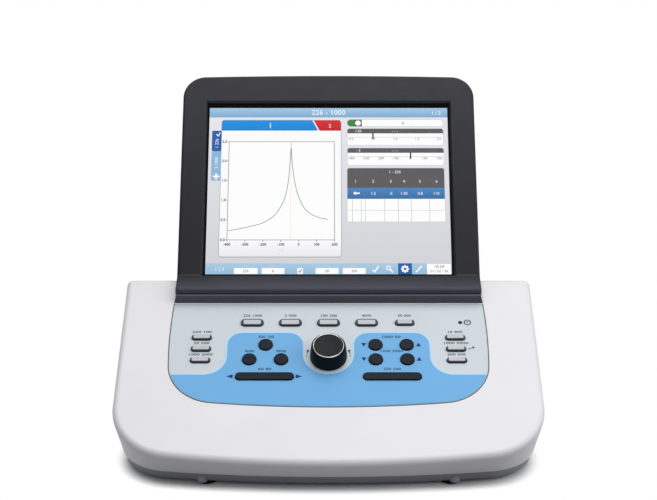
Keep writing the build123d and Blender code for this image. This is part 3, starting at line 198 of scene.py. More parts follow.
def moulded(name, code, roughness, tone, grain, depth, wear=0.0, ease=0.0, coat=0.0,
            metallic=0.0, brushed=None, gloss=0.5, painted_light_by_height=()):
    """A moulded, painted or machined surface: uneven tone and gloss, fine grain, lighter edges.

    The painted light by height gives heights above the table, each with the share of the colour
    that is kept there: low shares are painted shade, high ones painted light.
    """
    material, tree, shader = bare(name)
    colour = ink(code)
    tint = ramp(tree, noise(tree, TONE_CELLS, 3.0), 0.35, 0.65,
                shade(colour, 1 - tone), shade(colour, 1 + tone))
    if painted_light_by_height:
        tint = with_painted_light_by_height(tree, tint, painted_light_by_height)
    relief = {
        "Distance": depth * MM,
        "Strength": 0.6,
        "Height": noise(tree, 1 / (grain * MM), 2.0, brushed),
    }
    if ease:
        edge, relief["Normal"] = edges(tree, ease)
        if wear:
            tint = worn(tree, tint, edge, shade(colour, 1 + wear))
    feed(tree, shader, {
        "Base Color": tint,
        "Roughness": ramp(tree, noise(tree, GLOSS_CELLS, 4.0), 0.3, 0.7,
                          max(GLOSS_LEAST, roughness - GLOSS_SWING), roughness + GLOSS_SWING),
        "Normal": add(tree, "ShaderNodeBump", relief).outputs["Normal"],
        "Metallic": metallic,
        "Specular IOR Level": gloss,
        "Coat Weight": coat,
        "Coat Roughness": 0.12,
    })
    return material


def height_of(row):
    """The height above the table of one row of the picture, in metres."""
    return (SCREEN @ Vector((0, (PICTURE_FOOT + (PIXELS[1] - row) * PIXEL) * MM, 0))).z


def glowing(name, code, below=None, rows=(0, PIXELS[1])):
    """A lit colour of the picture. With a second colour it runs to that down the rows given."""
    material, tree, shader = bare(name)
    colour = ink(code)
    if below:
        top, foot = rows
        way = ramp(tree, object_height(tree), height_of(foot), height_of(top), 0.0, 1.0)
        colour = ramp(tree, way, 0.0, 1.0, ink(below), colour)
    feed(tree, shader, {
        "Base Color": (0.01, 0.01, 0.012, 1.0),
        "Specular IOR Level": 0.1,
        "Roughness": 0.5,
        "Emission Strength": 1.0,
        "Emission Color": colour,
    })
    return material


def cover_glass(name):
    """The clear glass over the display, uneven in its gloss."""
    material, tree, shader = bare(name)
    feed(tree, shader, {
        "Base Color": (0.02, 0.02, 0.025, 1.0),
        "Alpha": 0.02,
        "IOR": 1.5,
        "Roughness": ramp(tree, noise(tree, 40.0, 4.0), 0.3, 0.7, 0.05, 0.16),
    })
    return material


# Each has its colour, then roughness, unevenness of tone, size of the grain and its depth
CASE = moulded("case_white_moulding", "e9e7ea", 0.42, 0.012, 0.6, 0.006, ease=0.8, wear=0.05)
TRAY = moulded("tray_grey_moulding", "8f9599", 0.5, 0.03, 0.5, 0.01, ease=0.5, wear=0.1)
# The housing's colour is painted by height above the table as light and shade: full at the chin as
# a painted highlight, dark lower down as painted shade, lighter again towards the top.
HOUSING_PAINTED_LIGHT = moulded(
    "housing_dark_painted_light", "363645", 0.42, 0.03, 0.4, 0.008, ease=0.5, wear=0.3, gloss=0.3,
    painted_light_by_height=((110, 1.0), (121.8, 0.95), (126.2, 0.13), (180, 0.13), (225, 0.28), (270, 0.42)))
# The chin strip is the housing's dark plastic painted lighter, as painted light against the shade
# on its lower, forward-facing part.
STRIP_PAINTED_LIGHT = moulded(
    "strip_grey_painted_light", "4b4c57", 0.42, 0.03, 0.4, 0.008, ease=0.4, wear=0.2, gloss=0.3)
COVER = moulded(
    "housing_rear_moulding", "303036", 0.5, 0.04, 0.5, 0.014, ease=0.6, wear=0.3, gloss=0.3)
PANEL = moulded("panel_grey_print", "ccd4d9", 0.4, 0.012, 0.4, 0.004, ease=0.3, wear=0.05)
FIELD = moulded("field_blue_print", "6cb0e3", 0.42, 0.015, 0.4, 0.004, gloss=0.3)
KEY_TOP = moulded("key_light_pad", "bdc0c6", 0.32, 0.02, 0.3, 0.004, ease=0.3)
KEY_SIDE = moulded("key_dark_skirt", "23272e", 0.4, 0.04, 0.3, 0.006)
KEY_DARK = moulded("key_dark_cap", "141b26", 0.42, 0.05, 0.3, 0.008, ease=0.4, wear=0.8, gloss=0.12)
KNOB = moulded("knob_dark_rubber", "04060b", 0.5, 0.06, 0.3, 0.01, gloss=0.12)
KNOB_TOP = moulded("knob_satin_cap", "131419", 0.4, 0.05, 0.25, 0.004, gloss=0.16)
BRIGHT = moulded("knob_bright_ring", "e8e9ec", 0.16, 0.02, 0.8, 0.002, metallic=1.0)
STEEL = moulded("plain_steel", "9fa1a3", 0.34, 0.06, 0.4, 0.006, metallic=1.0, brushed=(1, 1, 12))
PLATED = moulded("nickel_plate", "c3c4c3", 0.2, 0.04, 0.6, 0.003, metallic=1.0, ease=0.3)
TURNED = moulded(
    "turned_aluminium", "c5c7c9", 0.3, 0.04, 0.3, 0.005, metallic=1.0, brushed=(14, 1, 1))
BLACK = moulded("black_moulding", "1a1b1d", 0.42, 0.06, 0.3, 0.01, ease=0.4, wear=0.6)
RUBBER = moulded("foot_rubber", "101011", 0.8, 0.1, 0.6, 0.04, gloss=0.1)
TUBE = moulded("air_tube_silicone", "cfd3ce", 0.3, 0.03, 0.4, 0.004, coat=0.3)
BOARD = moulded("board_lacquer", "1d5a35", 0.3, 0.1, 0.8, 0.01, coat=0.4)
MOTOR = moulded("motor_black_paint", "2a2b2d", 0.3, 0.05, 0.5, 0.008, coat=0.3)
MODULE = moulded("display_module_black", "0a0a0c", 0.35, 0.05, 0.6, 0.004)
LAMP = moulded("lamp_smoked_lens", "06070a", 0.3, 0.05, 0.6, 0.002, coat=0.1, gloss=0.2)
MARK = moulded("print_dark", "10141b", 0.5, 0.05, 0.3, 0.003, gloss=0.12)
MARK_BLUE = moulded("print_blue", "0f3a86", 0.5, 0.05, 0.3, 0.003, gloss=0.1)
SEAM = moulded("seam_shade", "55585f", 0.6, 0.05, 0.4, 0.003)
# A painted highlight: pure white, brighter than the case, for the lit rear edge of the panel under
# the chin strip.
REAR_HIGHLIGHT = moulded("rear_highlight_white", "ffffff", 0.4, 0.01, 0.4, 0.003, gloss=0.3)
HALO = moulded("print_pale_blue", "b9dcf4", 0.45, 0.02, 0.4, 0.003)
BORDER = moulded("display_border_black", "030304", 0.4, 0.05, 0.4, 0.002, gloss=0.05)
GLASS = cover_glass("display_cover_glass")

FINISHES = {
    "case_white": CASE, "tray_grey": TRAY, "housing_dark": HOUSING_PAINTED_LIGHT, "housing_silver": COVER,
    "panel_grey": PANEL, "field_blue": FIELD, "key_light": KEY_SIDE, "key_dark": KEY_DARK,
    "knob_dark": KNOB, "bright_metal": BRIGHT, "steel": STEEL, "aluminium": TURNED,
    "black_plastic": BLACK, "socket_metal": PLATED, "rubber_black": RUBBER, "tube_clear": TUBE,
    "window_glass": GLASS, "lcd_dark": MODULE, "board_green": BOARD, "lamp_smoked": LAMP,
    "motor_black": MOTOR,
}
for name, node in nodes.items():
    node.data.materials.clear()
    node.data.materials.append(FINISHES[slots[name]])


# Thin printed and lit shapes

# Which corners of a box are rounded: top left, top right, bottom right, bottom left
ALL_ROUND, ROUND_TOP, ROUND_FOOT = (1, 1, 1, 1), (1, 1, 0, 0), (0, 0, 1, 1)
ROUND_LEFT, ROUND_TOP_LEFT = (1, 0, 0, 1), (1, 0, 0, 0)


def mesh_of(form, name):
    """The mesh of a form that is finished."""
    mesh = bpy.data.meshes.new(name)
    form.to_mesh(mesh)
    form.free()
    return mesh


def placed(name, data):
    """A new object in the scene."""
    piece = bpy.data.objects.new(name, data)
    bpy.context.scene.collection.objects.link(piece)
    return piece


class Sheet:
    """Flat shapes on one plane, gathered by material.

    The first level lies at the base's height over the plane, and each next one a step above it.
    """

    up = 1  # which way places count on the plane: up it, or down it with -1

    def __init__(self, name, base, slot, body="base", step=0.01, plane=DECK):
        self.name, self.slot, self.body = name, slot, body
        self.base, self.step, self.plane = base, step, plane
        self.inks = {}

    def place(self, x, y):
        """Where a drawn point lies on the plane."""
        return x, y

    def face(self, material, points, level=0):
        """A flat shape inside a ring of points."""
        form = self.inks.setdefault(material.name, (material, bmesh.new()))[1]
        spots = [self.place(x, y) for x, y in points]
        area = sum(a[0] * b[1] - b[0] * a[1] for a, b in zip(spots, spots[1:] + spots[:1]))
        if area < 0:
            spots.reverse()
        height = self.base + self.step * level
        form.faces.new(
            [form.verts.new(self.plane @ (Vector((x, y, height)) * MM)) for x, y in spots])

    def box(self, material, left, top, right, bottom, level=0, corner=0.0, corners=ALL_ROUND):
        """A rectangle, with the radius of its corners and which of them have it."""
        spots = []
        turns = ((left, top, 1, 1, 180), (right, top, -1, 1, 270),
                 (right, bottom, -1, -1, 0), (left, bottom, 1, -1, 90))
        for (x, y, inward, down, start), eased in zip(turns, corners):
            if not (corner and eased):
                spots.append((x, y))
                continue
            for n in range(7):
                angle = math.radians(start + 15 * n)
                spots.append((x + corner * (inward + math.cos(angle)),
                              y + corner * (down + math.sin(angle))))
        self.face(material, spots, level)

    def disc(self, material, x, y, radius, level=0):
        """A round shape."""
        self.face(material, circle(x, y, radius, 28), level)

    def line(self, material, points, width, level=0, closed=False):
        """A strip of even width along a line of points."""
        count = len(points)
        rims = []
        for n, (x, y) in enumerate(points):
            before = points[n - 1] if n or closed else points[0]
            after = points[(n + 1) % count] if n < count - 1 or closed else points[-1]
            ahead = Vector((after[0] - x, after[1] - y))
            behind = Vector((x - before[0], y - before[1]))
            ahead = ahead.normalized() if ahead.length else behind.normalized()
            behind = behind.normalized() if behind.length else ahead
            along = (ahead + behind).normalized()
            reach = width / 2 / max(0.35, along.dot(ahead))
            rims.append(((x - along.y * reach, y + along.x * reach),
                         (x + along.y * reach, y - along.x * reach)))
        for n in range(count if closed else count - 1):
            a, b = rims[n], rims[(n + 1) % count]
            self.face(material, [a[0], a[1], b[1], b[0]], level)

    def words(self, material, text, x, y, size, level=0, turn=0.0, width=0.0, bold=0.0):
        """Numbers and plain signs, centred on a place. They can be drawn out to a width."""
        curve = bpy.data.curves.new("numbers", "FONT")
        curve.body = text
        curve.size = size
        curve.align_x = curve.align_y = "CENTER"
        curve.resolution_u = 2
        curve.offset = bold
        holder = bpy.data.objects.new("numbers", curve)
        outline = bpy.data.meshes.new_from_object(holder)
        places = [v.co.copy() for v in outline.vertices]
        stretch = width / max(1e-6, 2 * max(abs(v.x) for v in places)) if width else 1.0
        c, s = math.cos(turn), math.sin(turn)
        for polygon in outline.polygons:
            spots = [(places[n].x * stretch, places[n].y) for n in polygon.vertices]
            self.face(material, [(x + a * c - b * s, y + self.up * (a * s + b * c))
                                 for a, b in spots], level)
        bpy.data.objects.remove(holder)
        bpy.data.meshes.remove(outline)

    def finish(self):
        """One piece for each material, on the sheet's body."""
        for number, (material, form) in enumerate(self.inks.values()):
            data = mesh_of(form, f"{self.name}_{number + 1}")
            data.materials.append(material)
            piece = placed(f"{self.name}_{material.name}", data)
            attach(piece, self.body)


class Picture(Sheet):
    """The lit picture, drawn on its own grid with the origin at its top left."""

    up = -1

    def place(self, x, y):
        """Where a drawn point lies on the plane."""
        return (x - PIXELS[0] / 2) * PIXEL, PICTURE_FOOT + (PIXELS[1] - y) * PIXEL


# Outlines and solid forms

def circle(x, y, radius, count=64):
    """Points round a circle."""
    turns = [2 * math.pi * n / count for n in range(count)]
    return [(x + radius * math.cos(a), y + radius * math.sin(a)) for a in turns]


def rounded(corners, steps=12):
    """Points round an outline. Each corner has its place and its radius."""
    spots = []
    for n, (x, y, radius) in enumerate(corners):
        here = Vector((x, y))
        if not radius:
            spots.append((x, y))
            continue
        behind = (Vector(corners[n - 1][:2]) - here).normalized()
        ahead = (Vector(corners[(n + 1) % len(corners)][:2]) - here).normalized()
        half = behind.angle(ahead) / 2
        middle = here + (behind + ahead).normalized() * radius / math.sin(half)
        first = here + behind * radius / math.tan(half) - middle
        last = here + ahead * radius / math.tan(half) - middle
        turn = math.atan2(first.x * last.y - first.y * last.x, first.dot(last))
        for k in range(steps + 1):
            c, s = math.cos(turn * k / steps), math.sin(turn * k / steps)
            spots.append((middle.x + first.x * c - first.y * s,
                          middle.y + first.x * s + first.y * c))
    return spots


def stadium(x, y, width, height, grow=0.0):
    """A bar with fully round ends."""
    half, tall = width / 2 + grow, height / 2 + grow
    radius = tall - 0.001
    return rounded([(x - half, y - tall, radius), (x + half, y - tall, radius),
                    (x + half, y + tall, radius), (x - half, y + tall, radius)])


def smooth_line(points, steps=8):
    """Points along a rounded line through the given ones."""
    spots = []
    padded = [points[0], *points, points[-1]]
    for a, b, c, d in zip(padded, padded[1:], padded[2:], padded[3:]):
        for n in range(steps):
            t = n / steps
            spots.append(tuple(
                0.5 * (2 * q + (r - p) * t + (2 * p - 5 * q + 4 * r - s) * t ** 2
                       + (3 * q - p - 3 * r + s) * t ** 3)
                for p, q, r, s in zip(a, b, c, d)))
    return spots + [points[-1]]


def plate(rings, low, high, ease=0.0):
    """The mesh of a flat form on the deck, cut out along rings of points."""
    curve = bpy.data.curves.new("plate", "CURVE")
    curve.dimensions = "2D"
    curve.fill_mode = "BOTH"
    curve.extrude = (high - low) / 2 - ease
    curve.bevel_depth = ease
    curve.bevel_resolution = 3
    curve.offset = -ease
    for ring in rings:
        line = curve.splines.new("POLY")
        line.points.add(len(ring) - 1)
        for point, (x, y) in zip(line.points, ring):
            point.co = (x, y, 0, 1)
        line.use_cyclic_u = True
    holder = bpy.data.objects.new("plate", curve)
    mesh = bpy.data.meshes.new_from_object(holder)
    bpy.data.objects.remove(holder)
    mesh.transform(ON_DECK @ Matrix.Translation((0, 0, (low + high) / 2)))
    return mesh


def turned(profile, row, count=96):
    """The mesh of a round form that stands on the deck, from a ring of radii and heights."""
    form = bmesh.new()
    loops = []
    for radius, height in profile:
        if radius:
            loops.append([form.verts.new((x, y, height)) for x, y in circle(0, row, radius, count)])
        else:
            loops.append([form.verts.new((0, row, height))] * count)
    for lower, upper in zip(loops, loops[1:] + loops[:1]):
        for n in range(count):
            corners = [lower[n], lower[(n + 1) % count], upper[(n + 1) % count], upper[n]]
            corners = [v for k, v in enumerate(corners) if v not in corners[:k]]
            if len(corners) > 2:
                form.faces.new(corners)
    bmesh.ops.recalc_face_normals(form, faces=form.faces)
    mesh = mesh_of(form, "turned")
    mesh.transform(ON_DECK)
    return mesh


def copy_of(name):
    """A form with the shape of a node, its points joined."""
    form = bmesh.new()
    form.from_mesh(nodes[name].data)
    bmesh.ops.remove_doubles(form, verts=form.verts, dist=SAME_POINT)
    return form


def cut_off(form, place, outward):
    """Takes off what lies beyond a plane, and closes the cut."""
    cut = bmesh.ops.bisect_plane(
        form, geom=form.verts[:] + form.edges[:] + form.faces[:],
        plane_co=place, plane_no=outward, clear_outer=True)
    rims = [e for e in cut["geom_cut"] if isinstance(e, bmesh.types.BMEdge)]
    bmesh.ops.triangle_fill(form, edges=rims, use_beauty=True)


def solid(name, mesh, material, body, node):
    """A piece from a mesh, in place of a node."""
    mesh.polygons.foreach_set("use_smooth", [True] * len(mesh.polygons))
    mesh.set_sharp_from_angle(angle=math.radians(32))
    mesh.materials.clear()
    mesh.materials.append(material)
    piece = placed(name, mesh)
    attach(piece, body)
    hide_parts(node)


# The lit picture. Places, sizes and widths are in cells of its grid, and a shape lies over those
# of lower levels
GROUND = glowing("lit_ground", "e9e9ed", "d3d4d9")
HEADER = glowing("lit_header_blue", "aecde6", "78a9d3", (0, 44))
FOOTER = glowing("lit_footer_blue", "adcde4", "95bddb", (560, 600))
WHITE = glowing("lit_white", "ffffff")
PAPER = glowing("lit_paper", "fdfdfe", "ececef", (480, 538))
BLUE = glowing("lit_blue", "0c92e2", "0683d4", (52, 91))
RED = glowing("lit_red", "dc2a30", "c2161c", (52, 91))
NAVY = glowing("lit_navy", "1d5ea6")
PALE = glowing("lit_pale_blue", "8db7da")
ROW = glowing("lit_row_blue", "4a86bd", "2f6da8", (296, 336))
DARK = glowing("lit_dark_grey", "5b595b")
GREY = glowing("lit_grey", "8d8e92")
FAINT = glowing("lit_faint_grey", "c3c5ca")
CURVE = glowing("lit_curve_grey", "8fa09f")
CURSOR = glowing("lit_cursor_orange", "f8ead0")
PEAK = glowing("lit_peak_orange", "e8a860")
GREEN = glowing("lit_green", "149a2e")
BLACK_TEXT = glowing("lit_text_dark", "3c3e44")

# Sizes of the words, and widths of the lines
TITLE, LARGE, LABEL, CELL, SMALL, TINY = 26, 18, 15, 14, 13, 12
RULE, TICK, CURVE_WIDTH, SIGN_WIDTH = 1.6, 1.8, 2.6, 4.4
SCALE_BOLD = 0.4

HEADER_TOP, HEADER_FOOT = 7, 41.5
FOOTER_TOP = 560.6
LEFT_CARD = (42.5, 441.5)
RIGHT_CARD = (463.5, 784)
TABLE_LEFT = 462.5
TAB_TOP, TAB_FOOT = 52.4, 90.5
PLOT_LEFT, PLOT_TOP, PLOT_RIGHT, PLOT_FOOT = 68, 130.7, 419.6, 480
CURSOR_COLUMN = 275
STATE_ROW = 62.2

ui = Picture("screen", 0.03, "lcd_dark", step=0.03, plane=SCREEN)
ui.box(GROUND, 0, 0, *PIXELS)
ui.box(BORDER, 0, 0, PIXELS[0], HEADER_TOP, 1)
ui.box(HEADER, 0, HEADER_TOP, PIXELS[0], HEADER_FOOT, 1)
ui.words(WHITE, "226 - 1000", 400, 24, TITLE, 2)
ui.words(WHITE, "1 / 2", 762, 26, LARGE, 2)

# The left card with its two tabs above and its two at the side
ui.box(GREY, 41, 51, 443, 540, 1, 10)
ui.box(PAPER, LEFT_CARD[0], 90, LEFT_CARD[1], 538, 2, 8, ROUND_FOOT)
ui.box(BLUE, LEFT_CARD[0], TAB_TOP, 360, TAB_FOOT, 2, 9, ROUND_TOP_LEFT)
ui.face(WHITE, [(346, TAB_TOP), (350, TAB_TOP), (370, TAB_FOOT), (366, TAB_FOOT)], 3)
ui.face(RED, [(350, TAB_TOP), (434, TAB_TOP), (439, 55), (LEFT_CARD[1], 60),
              (LEFT_CARD[1], TAB_FOOT), (370, TAB_FOOT)], 3)
ui.words(WHITE, "1", 205, 72, TITLE, 4)
ui.words(WHITE, "2", 405, 73, LARGE, 4)
ui.box(NAVY, 10, TAB_FOOT, 42, 165, 2, 5, ROUND_LEFT)
ui.line(WHITE, [(24, 103), (31, 110), (37, 97)], 3, 3)
ui.words(WHITE, "1 226", 27, 137, LABEL, 3, math.radians(90))
ui.box(PALE, 10, 165, 42, 271, 2, 5, ROUND_LEFT)
ui.words(WHITE, "2 1000", 27, 207, LABEL, 3, math.radians(90))
ui.box(WHITE, 24, 245, 30, 267, 3)
ui.box(WHITE, 16, 253, 38, 259, 3)

# The plot with its two scales, the line of the cursor and the curve
ui.box(WHITE, PLOT_LEFT, PLOT_TOP, PLOT_RIGHT, PLOT_FOOT, 3)
ui.line(DARK, [(PLOT_LEFT, PLOT_TOP), (PLOT_RIGHT, PLOT_TOP),
               (PLOT_RIGHT, PLOT_FOOT), (PLOT_LEFT, PLOT_FOOT)], TICK, 4, True)
for n in range(6):
    row = PLOT_TOP + (PLOT_FOOT - PLOT_TOP) * n / 5
    ui.line(BLACK_TEXT, [(PLOT_LEFT - 6, row), (PLOT_LEFT, row)], TICK, 4)
    ui.words(BLACK_TEXT, f"{2.5 - 0.5 * n:.1f}", PLOT_LEFT - 15, row, SMALL, 4,
             bold=SCALE_BOLD)
for n in range(7):
    column = PLOT_LEFT + (PLOT_RIGHT - PLOT_LEFT) * n / 6
    ui.line(BLACK_TEXT, [(column, PLOT_FOOT), (column, PLOT_FOOT + 6)], TICK, 4)
    ui.words(BLACK_TEXT, str(100 * n - 400), column, PLOT_FOOT + 16, SMALL, 4,
             bold=SCALE_BOLD)
ui.words(BLACK_TEXT, "- -", 244, 514, CELL, 4)
ui.line(CURSOR, [(CURSOR_COLUMN, 146), (CURSOR_COLUMN, PLOT_FOOT)], 2.0, 4)
ui.line(PEAK, [(CURSOR_COLUMN, 134), (CURSOR_COLUMN, 146)], CURVE_WIDTH, 4)
ui.line(CURVE, smooth_line([
    (70, 448), (110, 441), (150, 431), (181, 422), (206, 408), (227, 389), (243, 363),
    (254, 338), (262, 305), (268, 262), (272, 205), (275.5, 152), (279, 205), (285, 255),
    (292, 295), (301, 327), (313, 356), (328, 378), (350, 394), (372, 403), (397, 408),
]), CURVE_WIDTH, 5)

# The right column: a state bar, two gauges and a table
ui.box(FAINT, 462, 48.4, 787, 76, 1, 13)
ui.box(WHITE, RIGHT_CARD[0], 50, 785.5, 74.4, 2, 12)
ui.box(DARK, RIGHT_CARD[0], 50, 512, 74.4, 3, 12, ROUND_LEFT)
ui.disc(GREEN, 477, STATE_ROW, 10.5, 4)
ui.disc(WHITE, 499, STATE_ROW, 9.5, 4)
ui.words(BLACK_TEXT, "0", 650, 63, LABEL, 3)


def gauge(top, foot, reading, labels, mark):
    """A dark bar with its reading, a scale of numbers under it, and a mark on the scale."""
    left, right = RIGHT_CARD
    ui.box(FAINT, left - 1.5, top - 1, right + 1.5, foot + 1, 1, 8)
    ui.box(WHITE, left, top, right, foot, 2, 7)
    ui.box(DARK, left, top, right, top + 17, 3, 7, ROUND_TOP)
    ui.words(WHITE, reading, 500, top + 9, SMALL, 4)
    ui.words(WHITE, "- - -", 622, top + 9, SMALL, 4)
    ui.line(FAINT, [(left + 1.5, top + 31), (right - 2, top + 31)], RULE, 3)
    for n, label in enumerate(labels):
        ui.words(BLACK_TEXT, label, 476 + 294 * n / (len(labels) - 1), top + 37, TINY, 4)
    ui.box(BLACK_TEXT, mark - 2.5, top + 17, mark + 2.5, top + 38, 4)


def table_row(row, cells):
    """White numbers along a row, each at its column."""
    for column, number in cells:
        ui.words(WHITE, number, column, row, CELL, 3)


gauge(83.2, 142.7, "1.05", ("0.0", "0.5", "1.0", "1.5", "2.0"), 549)
gauge(154, 215, "- 5", ("-400", "-300", "-200", "-100", "0", "100", "200"), 673.7)
ui.box(FAINT, 461.5, 225.3, 785, 417, 1, 8, ROUND_TOP)
ui.box(DARK, TABLE_LEFT, 226.3, RIGHT_CARD[1], 296.4, 2, 7, ROUND_TOP)
table_row(240, ((620, "1 - 226"),))
table_row(274, ((490, "1"), (548, "2"), (606, "3"), (650, "4"), (703, "5"), (758, "6")))
ui.box(ROW, TABLE_LEFT, 296.4, RIGHT_CARD[1], 336, 2)
ui.face(WHITE, [(481, 316), (490, 309), (490, 313.5), (503, 313.5), (503, 318.5),
                (490, 318.5), (490, 323)], 3)
table_row(317, ((548, "1.2"), (606, "-5"), (650, "1.05"), (703, "0.8"), (756, "110")))
ui.box(WHITE, TABLE_LEFT, 336, RIGHT_CARD[1], 415.9, 2)
ui.line(FAINT, [(TABLE_LEFT, 376), (RIGHT_CARD[1], 376)], RULE, 3)
for column in (479, 508, 521, 585, 630, 673, 733):
    ui.line(FAINT, [(column, 336), (column, 415.9)], TICK, 3)

# The bottom bar: its fields, a ticked box, and the signs of a tick, a lens, a gear and a pen
ui.box(FOOTER, 0, FOOTER_TOP, *PIXELS, 1)
ui.words(WHITE, "1 2 3", 46, 582, LABEL, 2)
for left, right, label in ((93, 170, "226"), (183, 257, "0"), (358, 433, "50"), (446, 521, "200")):
    ui.box(WHITE, left, 577, right, 597, 2, 3)
    ui.words(BLACK_TEXT, label, (left + right) / 2, 587.5, SMALL, 3)
    ui.words(WHITE, "- - -", (left + right) / 2, 569, SMALL, 2)
ui.box(WHITE, 299, 577, 317, 597, 2, 2)
ui.line(NAVY, [(303, 587), (307, 592), (313, 581)], CURVE_WIDTH, 3)
ui.line(WHITE, [(543, 583), (550, 590), (563, 570)], SIGN_WIDTH, 2)
ui.disc(WHITE, 595, 576, 8, 2)
ui.disc(FOOTER, 595, 576, 4.8, 3)
ui.line(WHITE, [(600, 582), (609, 592)], SIGN_WIDTH, 2)
GEAR = (648.5, 580)
teeth = [(math.radians(45 * n + turn), reach) for n in range(8)
         for turn, reach in ((-10, 13.5), (10, 13.5), (16, 9.5), (29, 9.5))]
ui.box(NAVY, 626, FOOTER_TOP, 671, PIXELS[1], 2)
ui.face(WHITE, [(GEAR[0] + reach * math.cos(turn), GEAR[1] + reach * math.sin(turn))
                for turn, reach in teeth], 3)
ui.disc(NAVY, *GEAR, 4.4, 4)
ui.line(WHITE, [(684, 591), (703, 570)], 4.6, 2)
ui.box(WHITE, 720, 562.5, 798, 599.5, 2, 2)
ui.words(BLACK_TEXT, "10:24", 759, 572, LABEL, 3)
ui.words(BLACK_TEXT, "01 / 02 / 30", 759, 588, TINY, 3)
ui.finish()

# The black border of the display, between the picture and the bezel
BORDER_WIDTH = 2.0
border = Sheet("display_border", 1.32, "lcd_dark", plane=SCREEN)
half, low, high = PICTURE[0] / 2, PICTURE_FOOT, PICTURE_FOOT + PICTURE[1]
border.box(BORDER, -half - BORDER_WIDTH, low - BORDER_WIDTH, -half, high + BORDER_WIDTH)
border.box(BORDER, half, low - BORDER_WIDTH, half + BORDER_WIDTH, high + BORDER_WIDTH)
border.box(BORDER, -half, low - BORDER_WIDTH, half, low)
border.box(BORDER, -half, high, half, high + BORDER_WIDTH)
border.finish()


# The blue field round the keys

def reach_of(name, above=-1.0):
    """The box of a node in the plane of the deck, of what lies above a height."""
    spots = [TO_DECK @ v.co / MM for v in nodes[name].data.vertices]
    spots = [v for v in spots if v.z > above]
    return [(min(v[n] for v in spots), max(v[n] for v in spots)) for n in range(3)]


def hull_of(name):
    """The outermost points of a node in the plane of the deck, in their order round it."""
    places = [TO_DECK @ v.co for v in nodes[name].data.vertices]
    places = sorted({(round(v.x / MM, 3), round(v.y / MM, 3)) for v in places})
    ring = []
    for row in (places, places[::-1]):
        side = []
        for x, v in row:
            while len(side) > 1:
                (first_x, first_v), (last_x, last_v) = side[-2:]
                if (last_x - first_x) * (v - first_v) > (last_v - first_v) * (x - first_x):
                    break
                side.pop()
            side.append((x, v))
        ring += side[:-1]
    return ring


def crossing(low, high, row):
    """Where the line from a point to a higher one reaches a row."""
    share = (row - low[1]) / max(0.001, high[1] - low[1])
    return low[0] + (high[0] - low[0]) * min(1.0, share), row


# Below this row the field follows the panel's edge, and above it the outline has its own corners:
# the shoulders at the sides, the two humps over the round keys, and the bowl round the knob
FIELD_ROW, FIELD_INSET, FIELD_SLACK = 87.35, 0.75, 0.4
HUMP_ROW, HUMP_SIDE, HUMP_INNER = 131.35, 83.9, 20.3
SHOULDER_RADIUS, HUMP_RADIUS = 18, 13
BOWL_ROW, BOWL_DEPTH = 108.3, 20.25
FIELD_TOP, KEY_GAP = 0.33, 0.35
HALO_WIDTH, JOINT_WIDTH = 1.45, 0.9

panel_edge = hull_of("control_panel")
inset = []
for n, (x, v) in enumerate(panel_edge):
    along = Vector(panel_edge[(n + 1) % len(panel_edge)]) - Vector(panel_edge[n - 1])
    along.normalize()
    inset.append((x - along.y * FIELD_INSET, v + along.x * FIELD_INSET))
below = sorted(spot for spot in inset if spot[1] < FIELD_ROW - FIELD_SLACK)
above = sorted((abs(v - FIELD_ROW), (x, v)) for x, v in inset if v >= FIELD_ROW - FIELD_SLACK)
left_next = next(spot for _, spot in above if spot[0] < 0)
right_next = next(spot for _, spot in above if spot[0] >= 0)
lower_edge = [crossing(below[0], left_next, FIELD_ROW), *below,
              crossing(below[-1], right_next, FIELD_ROW)]
bowl = [(HUMP_INNER * math.cos(math.radians(a)), BOWL_ROW - BOWL_DEPTH * math.sin(math.radians(a)))
        for a in range(0, 181, 5)]
field_edge = rounded([
    *((x, v, 0) for x, v in lower_edge),
    (HUMP_SIDE, FIELD_ROW, SHOULDER_RADIUS),
    (HUMP_SIDE, HUMP_ROW, HUMP_RADIUS),
    (HUMP_INNER, HUMP_ROW, HUMP_RADIUS),
    *((x, v, 0) for x, v in bowl),
    (-HUMP_INNER, HUMP_ROW, HUMP_RADIUS),
    (-HUMP_SIDE, HUMP_ROW, HUMP_RADIUS),
    (-HUMP_SIDE, FIELD_ROW, SHOULDER_RADIUS),
])

# The field is cut out round the round keys and the bars
holes = []
for name in nodes:
    if "round_key" in name:
        (left, right), (front, back), _ = reach_of(name, 0.5)
        holes.append(circle((left + right) / 2, (front + back) / 2, (right - left) / 2 + KEY_GAP))
for x in BARS.values():
    holes.append(stadium(x, BAR_ROW, *BAR_SIZE, KEY_GAP))
solid("panel_field_print", plate([field_edge, *holes], 0.0, FIELD_TOP), FIELD,
      "base", "panel_field")

# A pale line along its upper edge
halo = Sheet("field_edge", FIELD_TOP + 0.01, "panel_grey")
halo.line(HALO, field_edge[len(lower_edge) - 1:] + field_edge[:1], HALO_WIDTH)
halo.finish()

# Grey corners where the pocket of the CAD field is wider than the redrawn humps
corner_fill = Sheet("hump_corner", 0.02, "panel_grey")
for left, right in ((-84.5, -70.0), (-35.0, -19.9), (19.9, 35.0), (70.0, 84.5)):
    corner_fill.box(PANEL, left, 117.0, right, 131.9)
corner_fill.finish()

# The two bars, with fully round ends above the flange and stems of the CAD bars
BAR_FOOT, BAR_TOP, BAR_EASE = -1.0, 1.8, 0.5
for name, x in BARS.items():
    form = copy_of(name)
    cut_off(form, DECK @ Vector((0, 0, BAR_FOOT * MM)), DECK_UP)
    bmesh.ops.recalc_face_normals(form, faces=form.faces)
    cap = plate([stadium(x, BAR_ROW, *BAR_SIZE)], BAR_FOOT, BAR_TOP, BAR_EASE)
    form.from_mesh(cap)
    bpy.data.meshes.remove(cap)
    solid(name + "_cap", mesh_of(form, name), KEY_DARK, name, name)

